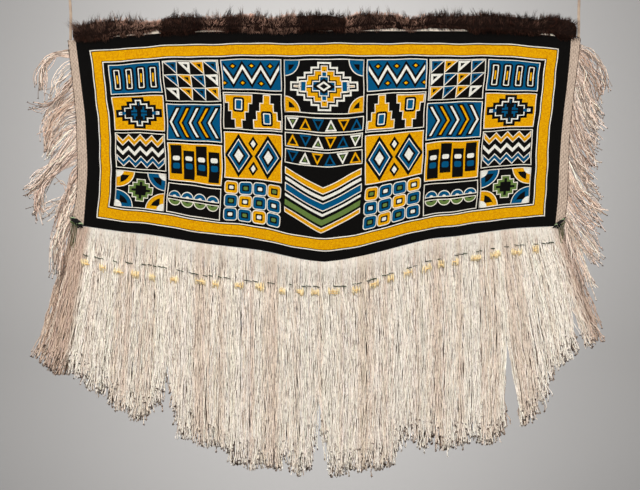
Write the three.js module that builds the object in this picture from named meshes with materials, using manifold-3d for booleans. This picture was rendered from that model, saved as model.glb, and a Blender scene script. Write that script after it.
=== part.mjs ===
// A woven ceremonial blanket with a long fringe, hung face on by two thongs at its top corners.
// Millimetres, +Z up. The woven face looks towards -Y. The origin is at the middle of the woven
// panel's top edge, in the middle of its thickness.

import * as THREE from "three";
import { mergeVertices } from "three/addons/utils/BufferGeometryUtils.js";
import Module from "manifold-3d";

const wasm = await Module();
wasm.setup();

// The cloth and what is sewn along its edges
const PANEL_THICKNESS = 3;
const PANEL_COLUMNS = 32;
const PANEL_ROWS = 10;
const HEADING_HEIGHT = 24;
const HEADING_THICKNESS = 2.6;
const BAND_THICKNESS = 2.6;
const SEAT_GAP = 0.3;

// The panel's top edge droops towards its corners.
const TOP_EDGE = [
  { x: -714, z: -26 },
  { x: -613, z: -17 },
  { x: -476, z: -7 },
  { x: -339, z: -2 },
  { x: -209, z: 0 },
  { x: 391, z: 0 },
  { x: 516, z: -2 },
  { x: 592, z: -6 },
  { x: 673, z: -14 },
  { x: 720, z: -20 },
];

// The panel's lower edge comes down to a blunt point a little right of the middle.
const LOWER_EDGE = [
  { x: -690, z: -562 },
  { x: -586, z: -576 },
  { x: -505, z: -585 },
  { x: -342, z: -611 },
  { x: -180, z: -631 },
  { x: -58, z: -657 },
  { x: 5, z: -664 },
  { x: 64, z: -657 },
  { x: 145, z: -640 },
  { x: 307, z: -599 },
  { x: 389, z: -590 },
  { x: 551, z: -568 },
  { x: 672, z: -562 },
];

// The side edges, by the share of the way down, and the width of the band sewn along each
const SIDE_EDGES = [
  { share: 0, left: -714, right: 720, leftBand: 22, rightBand: 29 },
  { share: 0.12, left: -706, right: 714, leftBand: 23, rightBand: 28 },
  { share: 0.25, left: -697, right: 706, leftBand: 24, rightBand: 27 },
  { share: 0.4, left: -687, right: 696, leftBand: 26, rightBand: 27 },
  { share: 0.55, left: -682, right: 688, leftBand: 28, rightBand: 28 },
  { share: 0.7, left: -679, right: 683, leftBand: 28, rightBand: 30 },
  { share: 0.85, left: -684, right: 679, leftBand: 27, rightBand: 31 },
  { share: 1, left: -690, right: 672, leftBand: 36, rightBand: 29 },
];
// The lower edge's point pulls the weave down with it, most of all near the edge.
const POINT_PULL = 3;

// Soft upright folds at their full depth: a negative depth comes towards the viewer.
const FOLDS = [
  { at: -650, width: 80, depth: -9 },
  { at: -455, width: 110, depth: 8 },
  { at: -240, width: 105, depth: -6 },
  { at: -30, width: 120, depth: 7 },
  { at: 185, width: 100, depth: -7 },
  { at: 400, width: 110, depth: 9 },
  { at: 625, width: 85, depth: -8 },
];
const FOLD_START = 60;
const FOLD_FULL = 560;

// The fur strip, by sections along the top edge: how high its pile stands and how low it hangs
const FUR_SECTIONS = [
  { x: -722, top: 12, bottom: -30 },
  { x: -696, top: 22, bottom: -32 },
  { x: -644, top: 32, bottom: -30 },
  { x: -592, top: 36, bottom: -14 },
  { x: -493, top: 26, bottom: -5 },
  { x: -468, top: 30, bottom: 1 },
  { x: -446, top: 43, bottom: -9 },
  { x: -383, top: 46, bottom: -8 },
  { x: -310, top: 38, bottom: 2 },
  { x: -278, top: 47, bottom: 0 },
  { x: -194, top: 48, bottom: -3 },
  { x: -139, top: 37, bottom: -2 },
  { x: -93, top: 48, bottom: -7 },
  { x: 23, top: 49, bottom: -6 },
  { x: 67, top: 41, bottom: -2 },
  { x: 104, top: 54, bottom: -6 },
  { x: 209, top: 49, bottom: -4 },
  { x: 255, top: 38, bottom: 5 },
  { x: 313, top: 48, bottom: -2 },
  { x: 390, top: 47, bottom: 4 },
  { x: 487, top: 52, bottom: -6 },
  { x: 560, top: 45, bottom: -6 },
  { x: 626, top: 37, bottom: -8 },
  { x: 661, top: 46, bottom: -14 },
  { x: 705, top: 37, bottom: -24 },
  { x: 738, top: 27, bottom: -24 },
];
const FUR_FRONT = 14;
const FUR_BACK = 11;
const FUR_END_ROUND = 18;
const FUR_SIDES = 9;
const FUR_STEPS = 42;
const FUR_CHANNEL_DROP = 90;
const FUR_CHANNEL_REACH = 40;
const FUR_LOCKS = 34;
const FUR_LOCK_LENGTH = 14;
const FUR_LOCK_WIDTH = 8;
const FUR_LOCK_TAPER = 0.85;
const FUR_END_SHARE = 0.55;
const FUR_LUMPS = [
  { height: 0.07, spacing: 19, turn: 2.5 },
  { height: 0.05, spacing: 7.3, turn: 0 },
];

// The fringe along the lower edge: where the strands that start at root end
const FRINGE_TIPS = [
  { root: -722, x: -841, z: -956 },
  { root: -690, x: -774, z: -994 },
  { root: -650, x: -705, z: -1011 },
  { root: -608, x: -652, z: -1058 },
  { root: -558, x: -592, z: -1104 },
  { root: -512, x: -539, z: -1136 },
  { root: -478, x: -499, z: -1116 },
  { root: -447, x: -461, z: -1072 },
  { root: -432, x: -441, z: -1116 },
  { root: -408, x: -415, z: -1194 },
  { root: -343, x: -348, z: -1214 },
  { root: -280, x: -284, z: -1223 },
  { root: -235, x: -238, z: -1269 },
  { root: -146, x: -148, z: -1272 },
  { root: -63, x: -64, z: -1304 },
  { root: -22, x: -22, z: -1260 },
  { root: -12, x: -12, z: -1147 },
  { root: 28, x: 29, z: -1298 },
  { root: 152, x: 154, z: -1278 },
  { root: 269, x: 273, z: -1261 },
  { root: 286, x: 290, z: -1214 },
  { root: 345, x: 351, z: -1223 },
  { root: 452, x: 464, z: -1211 },
  { root: 488, x: 510, z: -1200 },
  { root: 508, x: 545, z: -1176 },
  { root: 520, x: 571, z: -1127 },
  { root: 575, x: 641, z: -1179 },
  { root: 588, x: 655, z: -1032 },
  { root: 622, x: 699, z: -1040 },
  { root: 645, x: 728, z: -970 },
  { root: 700, x: 814, z: -913 },
];
const TIP_UNEVENNESS = 30;

// The fringe down each side: how far its strands reach out and fall, by the height of their root
const SIDE_TIPS = {
  left: [
    { z: -544, reach: 96, fall: 190 },
    { z: -504, reach: 92, fall: 140 },
    { z: -446, reach: 126, fall: 112 },
    { z: -388, reach: 141, fall: 108 },
    { z: -330, reach: 141, fall: 122 },
    { z: -272, reach: 106, fall: 122 },
    { z: -199, reach: 89, fall: 128 },
    { z: -127, reach: 90, fall: 128 },
    { z: -51, reach: 90, fall: 139 },
  ],
  right: [
    { z: -544, reach: 100, fall: 150 },
    { z: -504, reach: 94, fall: 138 },
    { z: -446, reach: 108, fall: 134 },
    { z: -388, reach: 118, fall: 136 },
    { z: -330, reach: 96, fall: 128 },
    { z: -272, reach: 88, fall: 118 },
    { z: -199, reach: 84, fall: 118 },
    { z: -127, reach: 84, fall: 118 },
    { z: -51, reach: 73, fall: 116 },
  ],
};

// The strands: the back layer is the ends of the warp, and the front layer hangs over it.
const WARP_FRINGE = { name: "fringe_warp_ends", from: -722, to: 698, count: 90, y: 3.3, colour: 0xd2bfb0 };
const FRONT_FRINGE = { name: "fringe_front", from: -686, to: 668, count: 86, y: -4.4, colour: 0xe8dfcc };
const STRAND_STEPS = 3;
const STRAND_WIDTH = 10.6;
const STRAND_THICKNESS = 4.4;
const STRAND_TIP_SHARE = 0.7;
const STRAND_BEND = 0.45;
const LAYER_SPREAD = 7;
const ROOT_HEIGHT = 5;
const ROOT_THICKNESS = 5.4;
const SIDE_STRANDS = 40;
const SIDE_STRAND_STEPS = 4;
const SIDE_STRAND_WIDTH = 5.4;
const SIDE_LAYERS = 4;
const SIDE_LAYER_PITCH = 5.2;
const SIDE_FAN_SHARE = 0.4;
const SIDE_BEND_OUT = 0.72;
const SIDE_BEND_DOWN = 0.22;
const SIDE_UNEVENNESS = 0.1;
const SIDE_ROOT_WIDTH = 4;
const SIDE_ROOTS_TOP = -50;
const SIDE_ROOTS_BOTTOM = -534;
const DEPTHWISE = new THREE.Vector3(0, 1, 0);
// The share of a route on each side of a place that gives its direction there
const NEAR = 0.02;

// Two twined rows of coloured yarn that bind the warp ends, by how far below the panel they lie
const ROW_DROPS = [
  { x: -700, green: 82, yellow: 104 },
  { x: -600, green: 89, yellow: 116 },
  { x: -460, green: 88, yellow: 121 },
  { x: -365, green: 92, yellow: 112 },
  { x: -220, green: 92, yellow: 110 },
  { x: -140, green: 87, yellow: 106 },
  { x: -60, green: 77, yellow: 94 },
  { x: 10, green: 74, yellow: 89 },
  { x: 90, green: 79, yellow: 98 },
  { x: 200, green: 72, yellow: 87 },
  { x: 280, green: 67, yellow: 83 },
  { x: 375, green: 56, yellow: 75 },
  { x: 520, green: 50, yellow: 69 },
  { x: 684, green: 47, yellow: 63 },
];
const TWINED_ROWS = [
  { name: "twined_row_green", drop: "green", colour: 0x31503a },
  { name: "twined_row_yellow", drop: "yellow", colour: 0xe2b45c },
];
const ROW_HEIGHT = 2.6;
const ROW_THICKNESS = 1;
const ROW_LAYER = -0.1;
const ROW_LEFT = -700;
const ROW_RIGHT = 684;
const ROW_STEPS = 40;

// Yarn ends bound slantwise across the foot of each side band, in front of it
const CORNER_YARNS = [
  { name: "corner_yarn_black_left", x: -708, z: -548, colour: 0x15161a, diameter: 4.6, length: 33 },
  { name: "corner_yarn_green_left", x: -715, z: -555, colour: 0x7d9c6c, diameter: 3.6, length: 25 },
  { name: "corner_yarn_black_right", x: 685, z: -550, colour: 0x15161a, diameter: 4.6, length: 30 },
  { name: "corner_yarn_green_right", x: 690, z: -558, colour: 0x7d9c6c, diameter: 3.6, length: 25 },
];
const CORNER_YARN_TILT = 0.55;
const CORNER_YARN_SIDES = 8;

// Flat hide thongs that hold the blanket up by the heads of its side bands, knotted at their tops
const TIES = {
  left: [
    { x: -729, y: 0, z: -25 },
    { x: -729, y: 2, z: 12 },
    { x: -729, y: 2, z: 55 },
    { x: -732, y: 0, z: 102 },
  ],
  right: [
    { x: 744, y: 0, z: -19 },
    { x: 745, y: 2, z: 14 },
    { x: 745, y: 2, z: 55 },
    { x: 746, y: 0, z: 102 },
  ],
};
const TIE_WIDTH = 8;
const TIE_THICKNESS = 3;
const TIE_SIDES = 8;
const TIE_STEPS = 7;
const KNOT_RADIUS = 7;
const KNOT_HEIGHT = 12;
const KNOT_FLAT = 0.8;

// Reads one column of a table at a value of its key column, straight from row to row.
function read(rows, key, column, value) {
  const last = rows.length - 1;
  if (value <= rows[0][key]) return rows[0][column];
  if (value >= rows[last][key]) return rows[last][column];
  const next = rows.findIndex((row) => row[key] > value);
  const low = rows[next - 1];
  const high = rows[next];
  const share = (value - low[key]) / (high[key] - low[key]);
  return low[column] + share * (high[column] - low[column]);
}

// The same, on a smooth curve through the rows.
function readSmooth(rows, key, column, value) {
  const last = rows.length - 1;
  const held = Math.min(rows[last][key], Math.max(rows[0][key], value));
  const next = Math.max(1, rows.findIndex((row) => row[key] >= held));
  const slope = (i) => {
    const before = rows[Math.max(0, i - 1)];
    const after = rows[Math.min(last, i + 1)];
    return (after[column] - before[column]) / (after[key] - before[key]);
  };
  const low = rows[next - 1];
  const high = rows[next];
  const span = high[key] - low[key];
  const t = (held - low[key]) / span;
  const rise = t * t * (3 - 2 * t);
  const bow = slope(next - 1) * (1 - t) - slope(next) * t;
  return low[column] * (1 - rise) + high[column] * rise + bow * span * t * (1 - t);
}

const smoothStep = (t) => t * t * (3 - 2 * t);

// A share from 0 to 1 that looks random and is the same each time.
function scatter(i, salt) {
  const wave = Math.sin(i * 12.9898 + salt * 78.233) * 43758.5453;
  return wave - Math.floor(wave);
}

// How far the hanging cloth stands forward or back at a place.
function fold(x, z) {
  const growth = smoothStep(Math.min(1, Math.max(0, (-z - FOLD_START) / (FOLD_FULL - FOLD_START))));
  return growth * FOLDS.reduce((sum, f) => sum + f.depth * Math.exp(-(((x - f.at) / f.width) ** 2)), 0);
}

// The place on the hanging panel at a share across and a share down.
function onPanel(across, down) {
  const left = readSmooth(SIDE_EDGES, "share", "left", down);
  const right = readSmooth(SIDE_EDGES, "share", "right", down);
  const x = left + (right - left) * across;
  const topX = TOP_EDGE[0].x + (TOP_EDGE.at(-1).x - TOP_EDGE[0].x) * across;
  const lowX = LOWER_EDGE[0].x + (LOWER_EDGE.at(-1).x - LOWER_EDGE[0].x) * across;
  const cornerZ = LOWER_EDGE[0].z + (LOWER_EDGE.at(-1).z - LOWER_EDGE[0].z) * across;
  const pull = (readSmooth(LOWER_EDGE, "x", "z", lowX) - cornerZ) * down ** POINT_PULL;
  const z = readSmooth(TOP_EDGE, "x", "z", topX) * (1 - down) + cornerZ * down + pull;
  return new THREE.Vector3(x, fold(x, z), z);
}

// The place on a side band: across it from the panel's edge outwards, and down.
function onBand(side, across, down) {
  const edge = onPanel(side.across, down);
  const width = readSmooth(SIDE_EDGES, "share", `${side.name}Band`, down);
  const x = edge.x + side.way * (SEAT_GAP + width * across);
  const z = edge.z + side.footRise * across * down;
  return new THREE.Vector3(x, fold(x, z), z);
}

const SIDES = [
  { name: "left", across: 0, way: -1, footRise: 10 },
  { name: "right", across: 1, way: 1, footRise: -3 },
];

const counted = (count, make) => Array.from({ length: count + 1 }, (_, i) => make(i / count));
const headLine = counted(PANEL_COLUMNS, (t) => onPanel(t, 0));
const footLine = [
  onBand(SIDES[0], 1, 1),
  ...counted(PANEL_COLUMNS, (t) => onPanel(t, 1)),
  onBand(SIDES[1], 1, 1),
];
const bandLines = {
  left: counted(PANEL_ROWS, (t) => onBand(SIDES[0], 1, t)).reverse(),
  right: counted(PANEL_ROWS, (t) => onBand(SIDES[1], 1, t)).reverse(),
};

// Moves every vertex of a geometry to where a rule puts it.
function reshape(geometry, place) {
  const at = geometry.getAttribute("position");
  const point = new THREE.Vector3();
  for (let i = 0; i < at.count; i += 1) {
    point.fromBufferAttribute(at, i);
    const moved = place(point);
    at.setXYZ(i, moved.x, moved.y, moved.z);
  }
  return geometry;
}

// A block whose lengthwise steps fall on the given stations, bent by place(station, height, depth),
// where height goes from 0 to 1 upwards and depth from -0.5 in front to 0.5 behind.
function blockAlong(stations, place) {
  const steps = stations.length - 1;
  const block = new THREE.BoxGeometry(1, 1, 1, steps, 1, 1);
  return reshape(block, (p) => place(stations[Math.round((p.x + 0.5) * steps)], p.z + 0.5, p.y));
}

function toSolid(geometry) {
  const bare = geometry.clone();
  bare.deleteAttribute("normal");
  bare.deleteAttribute("uv");
  const merged = mergeVertices(bare, 1e-3);
  return new wasm.Manifold(
    new wasm.Mesh({
      numProp: 3,
      vertProperties: new Float32Array(merged.attributes.position.array),
      triVerts: new Uint32Array(merged.index.array),
    }),
  );
}

function toGeometry(solid) {
  const mesh = solid.getMesh();
  const geometry = new THREE.BufferGeometry();
  geometry.setAttribute("position", new THREE.BufferAttribute(mesh.vertProperties, 3));
  geometry.setIndex(new THREE.BufferAttribute(mesh.triVerts, 1));
  return geometry;
}

function piece(name, geometry, colour, roughness) {
  geometry.computeVertexNormals();
  const material = new THREE.MeshStandardMaterial({ color: colour, roughness, metalness: 0 });
  const mesh = new THREE.Mesh(geometry, material);
  mesh.name = name;
  return mesh;
}

// The woven panel: one sheet with the hanging outline and its soft folds.
function wovenPanel() {
  const block = new THREE.BoxGeometry(1, 1, 1, PANEL_COLUMNS, 1, PANEL_ROWS);
  reshape(block, (p) => {
    const place = onPanel(p.x + 0.5, 0.5 - p.z);
    place.y += p.y * PANEL_THICKNESS;
    return place;
  });
  return piece("woven_panel", block, 0x15161a, 0.9);
}

// A strip along the panel's top edge, from one height above that edge to another.
function stripAbovePanel(line, bottom, top, thickness) {
  return blockAlong(line, (station, height, depth) => {
    const z = station.z + bottom + (top - bottom) * height;
    return new THREE.Vector3(station.x, depth * thickness, z);
  });
}

// The heading: a flat strip of hide that the warp hangs from, seated on the panel's top edge.
function headingStrip() {
  const strip = stripAbovePanel(headLine, SEAT_GAP, HEADING_HEIGHT, HEADING_THICKNESS);
  return piece("heading_strip", strip, 0xd9cdb8, 0.85);
}

// A tapered lock of pile that stands on the fur's rim.
function furLock(foot, tip) {
  const cone = new THREE.CylinderGeometry(0.5, 0.5, 1, 3, 1);
  const along = tip.clone().sub(foot);
  return reshape(cone, (p) => {
    const t = p.y + 0.5;
    const width = FUR_LOCK_WIDTH * (1 - FUR_LOCK_TAPER * t);
    const middle = foot.clone().addScaledVector(along, t);
    return middle.add(new THREE.Vector3(-p.x * width, p.z * width, 0));
  });
}

// The space inside the fur where the heading, the panel and the bands' heads run up.
function furChannel() {
  const before = headLine[0].clone();
  const after = headLine.at(-1).clone();
  before.x -= FUR_CHANNEL_REACH;
  after.x += FUR_CHANNEL_REACH;
  const room = PANEL_THICKNESS + 2 * SEAT_GAP;
  return stripAbovePanel([before, ...headLine, after], -FUR_CHANNEL_DROP, HEADING_HEIGHT + SEAT_GAP, room);
}

// The fur strip: a lumpy roll of pile folded over the heading and open below, with locks on its rim.
function furTrim() {
  const first = FUR_SECTIONS[0].x;
  const last = FUR_SECTIONS.at(-1).x;
  const roll = new THREE.CylinderGeometry(1, 1, 1, FUR_SIDES, FUR_STEPS).rotateZ(-Math.PI / 2);
  reshape(roll, (p) => {
    const x = first + (last - first) * (p.x + 0.5);
    const top = read(FUR_SECTIONS, "x", "top", x);
    const bottom = read(FUR_SECTIONS, "x", "bottom", x);
    const toEnd = Math.min(x - first, last - x, FUR_END_ROUND) / FUR_END_ROUND;
    const round = FUR_END_SHARE + (1 - FUR_END_SHARE) * Math.sqrt(1 - (1 - toEnd) ** 2);
    const lump = FUR_LUMPS.reduce((sum, l) => sum + l.height * Math.sin(x / l.spacing + l.turn * p.z), 1);
    const depth = p.y < 0 ? FUR_FRONT : FUR_BACK;
    const z = (top + bottom) / 2 + (p.z * round * (top - bottom)) / 2;
    return new THREE.Vector3(x, p.y * depth * round * lump, z);
  });
  let fur = toSolid(roll).subtract(toSolid(furChannel()));
  const pitch = (last - first) / FUR_LOCKS;
  for (let i = 1; i < FUR_LOCKS; i += 1) {
    const x = first + pitch * i;
    const top = read(FUR_SECTIONS, "x", "top", x);
    const lean = (scatter(i, 1) - 0.5) * FUR_LOCK_WIDTH;
    const rise = FUR_LOCK_LENGTH * (0.4 + 0.6 * scatter(i, 2));
    const foot = new THREE.Vector3(x, -2, top - 6);
    const tip = new THREE.Vector3(x + lean, -3, top - 2 + rise);
    fur = fur.add(toSolid(furLock(foot, tip)));
  }
  return piece("fur_trim", toGeometry(fur), 0x3a241f, 0.95);
}

// One three-sided strand along a route from its root to its tip, with its ridge in front.
function strand(route, steps, width, thickness) {
  const corners = [
    { across: -0.5, depth: 0.5 },
    { across: 0, depth: -0.5 },
    { across: 0.5, depth: 0.5 },
  ];
  const points = [];
  const faces = [];
  for (let i = 0; i <= steps; i += 1) {
    const t = i / steps;
    const up = route(Math.max(0, t - NEAR)).sub(route(Math.min(1, t + NEAR)));
    const across = DEPTHWISE.clone().cross(up.setY(0).normalize());
    const taper = 1 - (1 - STRAND_TIP_SHARE) * t * t;
    corners.forEach((corner, k) => {
      const at = route(t).addScaledVector(across, corner.across * width * taper);
      at.addScaledVector(DEPTHWISE, corner.depth * thickness * taper);
      points.push(at.x, at.y, at.z);
      const here = 3 * i + k;
      const beside = 3 * i + ((k + 1) % 3);
      if (i < steps) faces.push(here, here + 3, beside, beside, here + 3, beside + 3);
    });
  }
  const tip = 3 * steps;
  faces.push(0, 1, 2, tip + 2, tip + 1, tip);
  const geometry = new THREE.BufferGeometry();
  geometry.setAttribute("position", new THREE.Float32BufferAttribute(points, 3));
  geometry.setIndex(faces);
  return geometry;
}

function bezier(root, bend, tip) {
  const line = new THREE.QuadraticBezierCurve3(root, bend, tip);
  return (t) => line.getPoint(t);
}

// The strip that a layer's roots are bound in, just under the panel and its side bands.
function rootStrip(layer) {
  const between = footLine.filter((station) => station.x > layer.from && station.x < layer.to);
  const ends = [layer.from, layer.to].map((x) => new THREE.Vector3(x, 0, read(footLine, "x", "z", x)));
  return blockAlong([ends[0], ...between, ends[1]], (station, height, depth) => {
    const z = station.z - SEAT_GAP - ROOT_HEIGHT * (1 - height);
    return new THREE.Vector3(station.x, layer.y + fold(station.x, station.z) + depth * ROOT_THICKNESS, z);
  });
}

// One layer of the fringe along the lower edge, its strands fused at their roots.
function lowerFringe(layer) {
  const outwards = Math.sign(layer.y);
  const pitch = (layer.to - layer.from) / layer.count;
  let fringe = toSolid(rootStrip(layer));
  for (let i = 0; i < layer.count; i += 1) {
    const x = layer.from + pitch * (i + 0.5);
    const tipX = read(FRINGE_TIPS, "root", "x", x);
    const tipZ = read(FRINGE_TIPS, "root", "z", x) + TIP_UNEVENNESS * scatter(i, layer.y);
    const rootZ = read(footLine, "x", "z", x) - SEAT_GAP - ROOT_HEIGHT / 2;
    const middle = bezier(
      new THREE.Vector3(x, layer.y, rootZ),
      new THREE.Vector3(x + (tipX - x) * STRAND_BEND, layer.y, rootZ + (tipZ - rootZ) * STRAND_BEND),
      new THREE.Vector3(tipX, layer.y + outwards * LAYER_SPREAD * scatter(i, 3), tipZ),
    );
    const route = (t) => {
      const place = middle(t);
      place.y += fold(place.x, place.z);
      return place;
    };
    fringe = fringe.add(toSolid(strand(route, STRAND_STEPS, STRAND_WIDTH, STRAND_THICKNESS)));
  }
  return piece(layer.name, toGeometry(fringe), layer.colour, 0.95);
}

// A side band: a flat woven strip along the panel's side edge, with a slanting foot.
function sideBand(side) {
  const block = new THREE.BoxGeometry(1, 1, 1, 2, 1, PANEL_ROWS);
  reshape(block, (p) => {
    const place = onBand(side, 0.5 + side.way * p.x, 0.5 - p.z);
    place.y += p.y * BAND_THICKNESS;
    return place;
  });
  return piece(`side_band_${side.name}`, block, 0xd3bfae, 0.95);
}

// The fringe down one side: strands that leave the band's outer edge and droop.
function sideFringe(side) {
  const line = bandLines[side.name];
  const edge = (z) => read(line, "z", "x", z) + side.way * SEAT_GAP;
  const inside = line.filter((station) => station.z > SIDE_ROOTS_BOTTOM && station.z < SIDE_ROOTS_TOP);
  const heights = [SIDE_ROOTS_BOTTOM, ...inside.map((station) => station.z), SIDE_ROOTS_TOP];
  const strip = new THREE.BoxGeometry(1, 1, 1, 1, 1, heights.length - 1);
  reshape(strip, (p) => {
    const z = heights[Math.round((p.z + 0.5) * (heights.length - 1))];
    const x = edge(z) + side.way * SIDE_ROOT_WIDTH * (0.5 + side.way * p.x);
    return new THREE.Vector3(x, fold(x, z) + p.y * ROOT_THICKNESS, z);
  });
  const pitch = (SIDE_ROOTS_TOP - SIDE_ROOTS_BOTTOM) / SIDE_STRANDS;
  let fringe = toSolid(strip);
  for (let i = 0; i < SIDE_STRANDS; i += 1) {
    const z = SIDE_ROOTS_TOP - pitch * (i + 0.5);
    const x = edge(z) + (side.way * SIDE_ROOT_WIDTH) / 2;
    const reach = side.way * read(SIDE_TIPS[side.name], "z", "reach", z);
    const uneven = 1 - SIDE_UNEVENNESS * scatter(i, 5);
    const fall = read(SIDE_TIPS[side.name], "z", "fall", z) * uneven;
    const y = fold(x, z);
    const layer = ((i % SIDE_LAYERS) - (SIDE_LAYERS - 1) / 2) * SIDE_LAYER_PITCH;
    const middle = bezier(
      new THREE.Vector3(x, y, z),
      new THREE.Vector3(x + reach * SIDE_BEND_OUT, y, z - fall * SIDE_BEND_DOWN),
      new THREE.Vector3(x + reach, y, z - fall),
    );
    const route = (t) => {
      const place = middle(t);
      place.y += layer * smoothStep(Math.min(1, t / SIDE_FAN_SHARE));
      return place;
    };
    fringe = fringe.add(toSolid(strand(route, SIDE_STRAND_STEPS, SIDE_STRAND_WIDTH, STRAND_THICKNESS)));
  }
  return piece(`side_fringe_${side.name}`, toGeometry(fringe), 0xcdb8a6, 0.95);
}

// A row of coloured yarn between the two layers of the fringe.
function twinedRow(row) {
  const stations = counted(ROW_STEPS, (t) => ROW_LEFT + (ROW_RIGHT - ROW_LEFT) * t);
  const block = blockAlong(stations, (x, height, depth) => {
    const drop = read(ROW_DROPS, "x", row.drop, x);
    const z = read(footLine, "x", "z", x) - drop + (height - 0.5) * ROW_HEIGHT;
    return new THREE.Vector3(x, ROW_LAYER + fold(x, z) + depth * ROW_THICKNESS, z);
  });
  return piece(row.name, block, row.colour, 0.95);
}

// A short bar of yarn, round-ended, that lies on the foot of a side band.
function cornerYarn(yarn) {
  const radius = yarn.diameter / 2;
  const bar = new THREE.CapsuleGeometry(radius, yarn.length - yarn.diameter, 2, CORNER_YARN_SIDES, 1);
  bar.rotateX(Math.PI / 2).rotateY(Math.PI / 2 + Math.sign(-yarn.x) * CORNER_YARN_TILT);
  const room = BAND_THICKNESS / 2 + 2 * SEAT_GAP + radius;
  reshape(bar, (p) => {
    const x = yarn.x + p.x;
    const z = yarn.z + p.z;
    return new THREE.Vector3(x, fold(x, z) - room + p.y, z);
  });
  return piece(yarn.name, bar, yarn.colour, 0.95);
}

// A taut flat thong from the head of a side band.
function tie(side) {
  const route = TIES[side.name].map((point) => new THREE.Vector3(point.x, point.y, point.z));
  const section = new THREE.Shape();
  section.absellipse(0, 0, TIE_WIDTH / 2, TIE_THICKNESS / 2, 0, 2 * Math.PI);
  const thong = new THREE.ExtrudeGeometry(section, {
    extrudePath: new THREE.CatmullRomCurve3(route),
    steps: TIE_STEPS,
    curveSegments: TIE_SIDES,
  });
  return piece(`tie_${side.name}`, thong, 0xb79f8b, 0.8);
}

// The knot at a thong's top, flat below where the thong runs into it.
function tieKnot(side) {
  const head = TIES[side.name].at(-1);
  const ball = new THREE.SphereGeometry(1, 9, 7).rotateX(Math.PI / 2);
  reshape(ball, (p) => {
    const waist = KNOT_RADIUS * (1 + 0.12 * Math.cos(3 * Math.atan2(p.y, p.x)));
    const z = (Math.max(p.z, -KNOT_FLAT) * KNOT_HEIGHT) / 2;
    return new THREE.Vector3(p.x * waist, p.y * waist, z);
  });
  const knot = piece(`tie_knot_${side.name}`, ball, 0xb79f8b, 0.8);
  knot.position.set(head.x, head.y, head.z + 2 * SEAT_GAP + (KNOT_FLAT * KNOT_HEIGHT) / 2);
  return knot;
}

const blanket = new THREE.Group();
blanket.add(wovenPanel(), headingStrip(), furTrim(), lowerFringe(WARP_FRINGE), lowerFringe(FRONT_FRINGE));
TWINED_ROWS.forEach((row) => blanket.add(twinedRow(row)));
CORNER_YARNS.forEach((yarn) => blanket.add(cornerYarn(yarn)));
SIDES.forEach((side) => blanket.add(sideBand(side), sideFringe(side), tie(side), tieKnot(side)));

export default blanket;
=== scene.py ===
import math

import bpy
import numpy as np
from mathutils.geometry import delaunay_2d_cdt
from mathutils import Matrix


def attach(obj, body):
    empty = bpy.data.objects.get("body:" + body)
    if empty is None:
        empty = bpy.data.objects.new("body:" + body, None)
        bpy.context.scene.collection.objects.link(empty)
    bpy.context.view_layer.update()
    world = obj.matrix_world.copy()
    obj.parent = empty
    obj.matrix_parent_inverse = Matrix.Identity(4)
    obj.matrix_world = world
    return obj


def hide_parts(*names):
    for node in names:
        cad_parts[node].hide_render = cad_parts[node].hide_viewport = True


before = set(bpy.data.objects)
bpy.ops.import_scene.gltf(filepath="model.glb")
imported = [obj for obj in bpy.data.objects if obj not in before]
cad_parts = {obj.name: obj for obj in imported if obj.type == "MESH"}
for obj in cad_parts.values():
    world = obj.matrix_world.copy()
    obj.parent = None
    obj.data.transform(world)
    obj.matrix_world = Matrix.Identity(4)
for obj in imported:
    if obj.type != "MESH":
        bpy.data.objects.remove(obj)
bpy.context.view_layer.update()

MM = 0.001
TURN = 2 * math.pi

# The routes of the two thongs, in metres, as the CAD model has them
TIE_LEFT = [(-0.729, 0, -0.025), (-0.729, 0.002, 0.012), (-0.729, 0.002, 0.055), (-0.732, 0, 0.102)]
TIE_RIGHT = [(0.744, 0, -0.019), (0.745, 0.002, 0.014), (0.745, 0.002, 0.055), (0.746, 0, 0.102)]
TIE_WIDTH = 0.008
TIE_THICKNESS = 0.003

# The hanging cloth's edges, in millimetres, as the CAD model has them
TOP_X = [-714, -613, -476, -339, -209, 391, 516, 592, 673, 720]
TOP_Z = [-26, -17, -7, -2, 0, 0, -2, -6, -14, -20]
LOW_X = [-690, -586, -505, -342, -180, -58, 5, 64, 145, 307, 389, 551, 672]
LOW_Z = [-565, -580, -589, -615, -635, -661, -668, -661, -644, -603, -594, -572, -565]
SIDE_SHARE = [0, 0.12, 0.25, 0.4, 0.55, 0.7, 0.85, 1]
LEFT_X = [-714, -706, -697, -687, -682, -679, -684, -690]
RIGHT_X = [722, 717, 710, 700, 692, 687, 683, 675]
LEFT_BAND = [22, 23, 24, 26, 28, 28, 27, 36]
RIGHT_BAND = [27, 25, 23, 23, 24, 26, 27, 26]
LEFT_FOOT_RISE = 10
RIGHT_FOOT_RISE = -3
# How soon, down the cloth, its rows bend towards the point at the foot
POINT_PULL = 3
# Half the thickness of the cloth and of a band, and the seam between them
CLOTH_HALF = 1.5
BAND_HALF = 1.3
SEAT_GAP = 0.3
# The folds: where each one lies, how wide it is and how far back it stands at most
FOLDS = [(-650, 80, -9), (-455, 110, 8), (-240, 105, -6), (-30, 120, 7), (185, 100, -7), (400, 110, 9),
         (625, 85, -8)]
# How far below the top the folds begin, and where they reach their full depth
FOLD_START = 60
FOLD_FULL = 560

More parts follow.
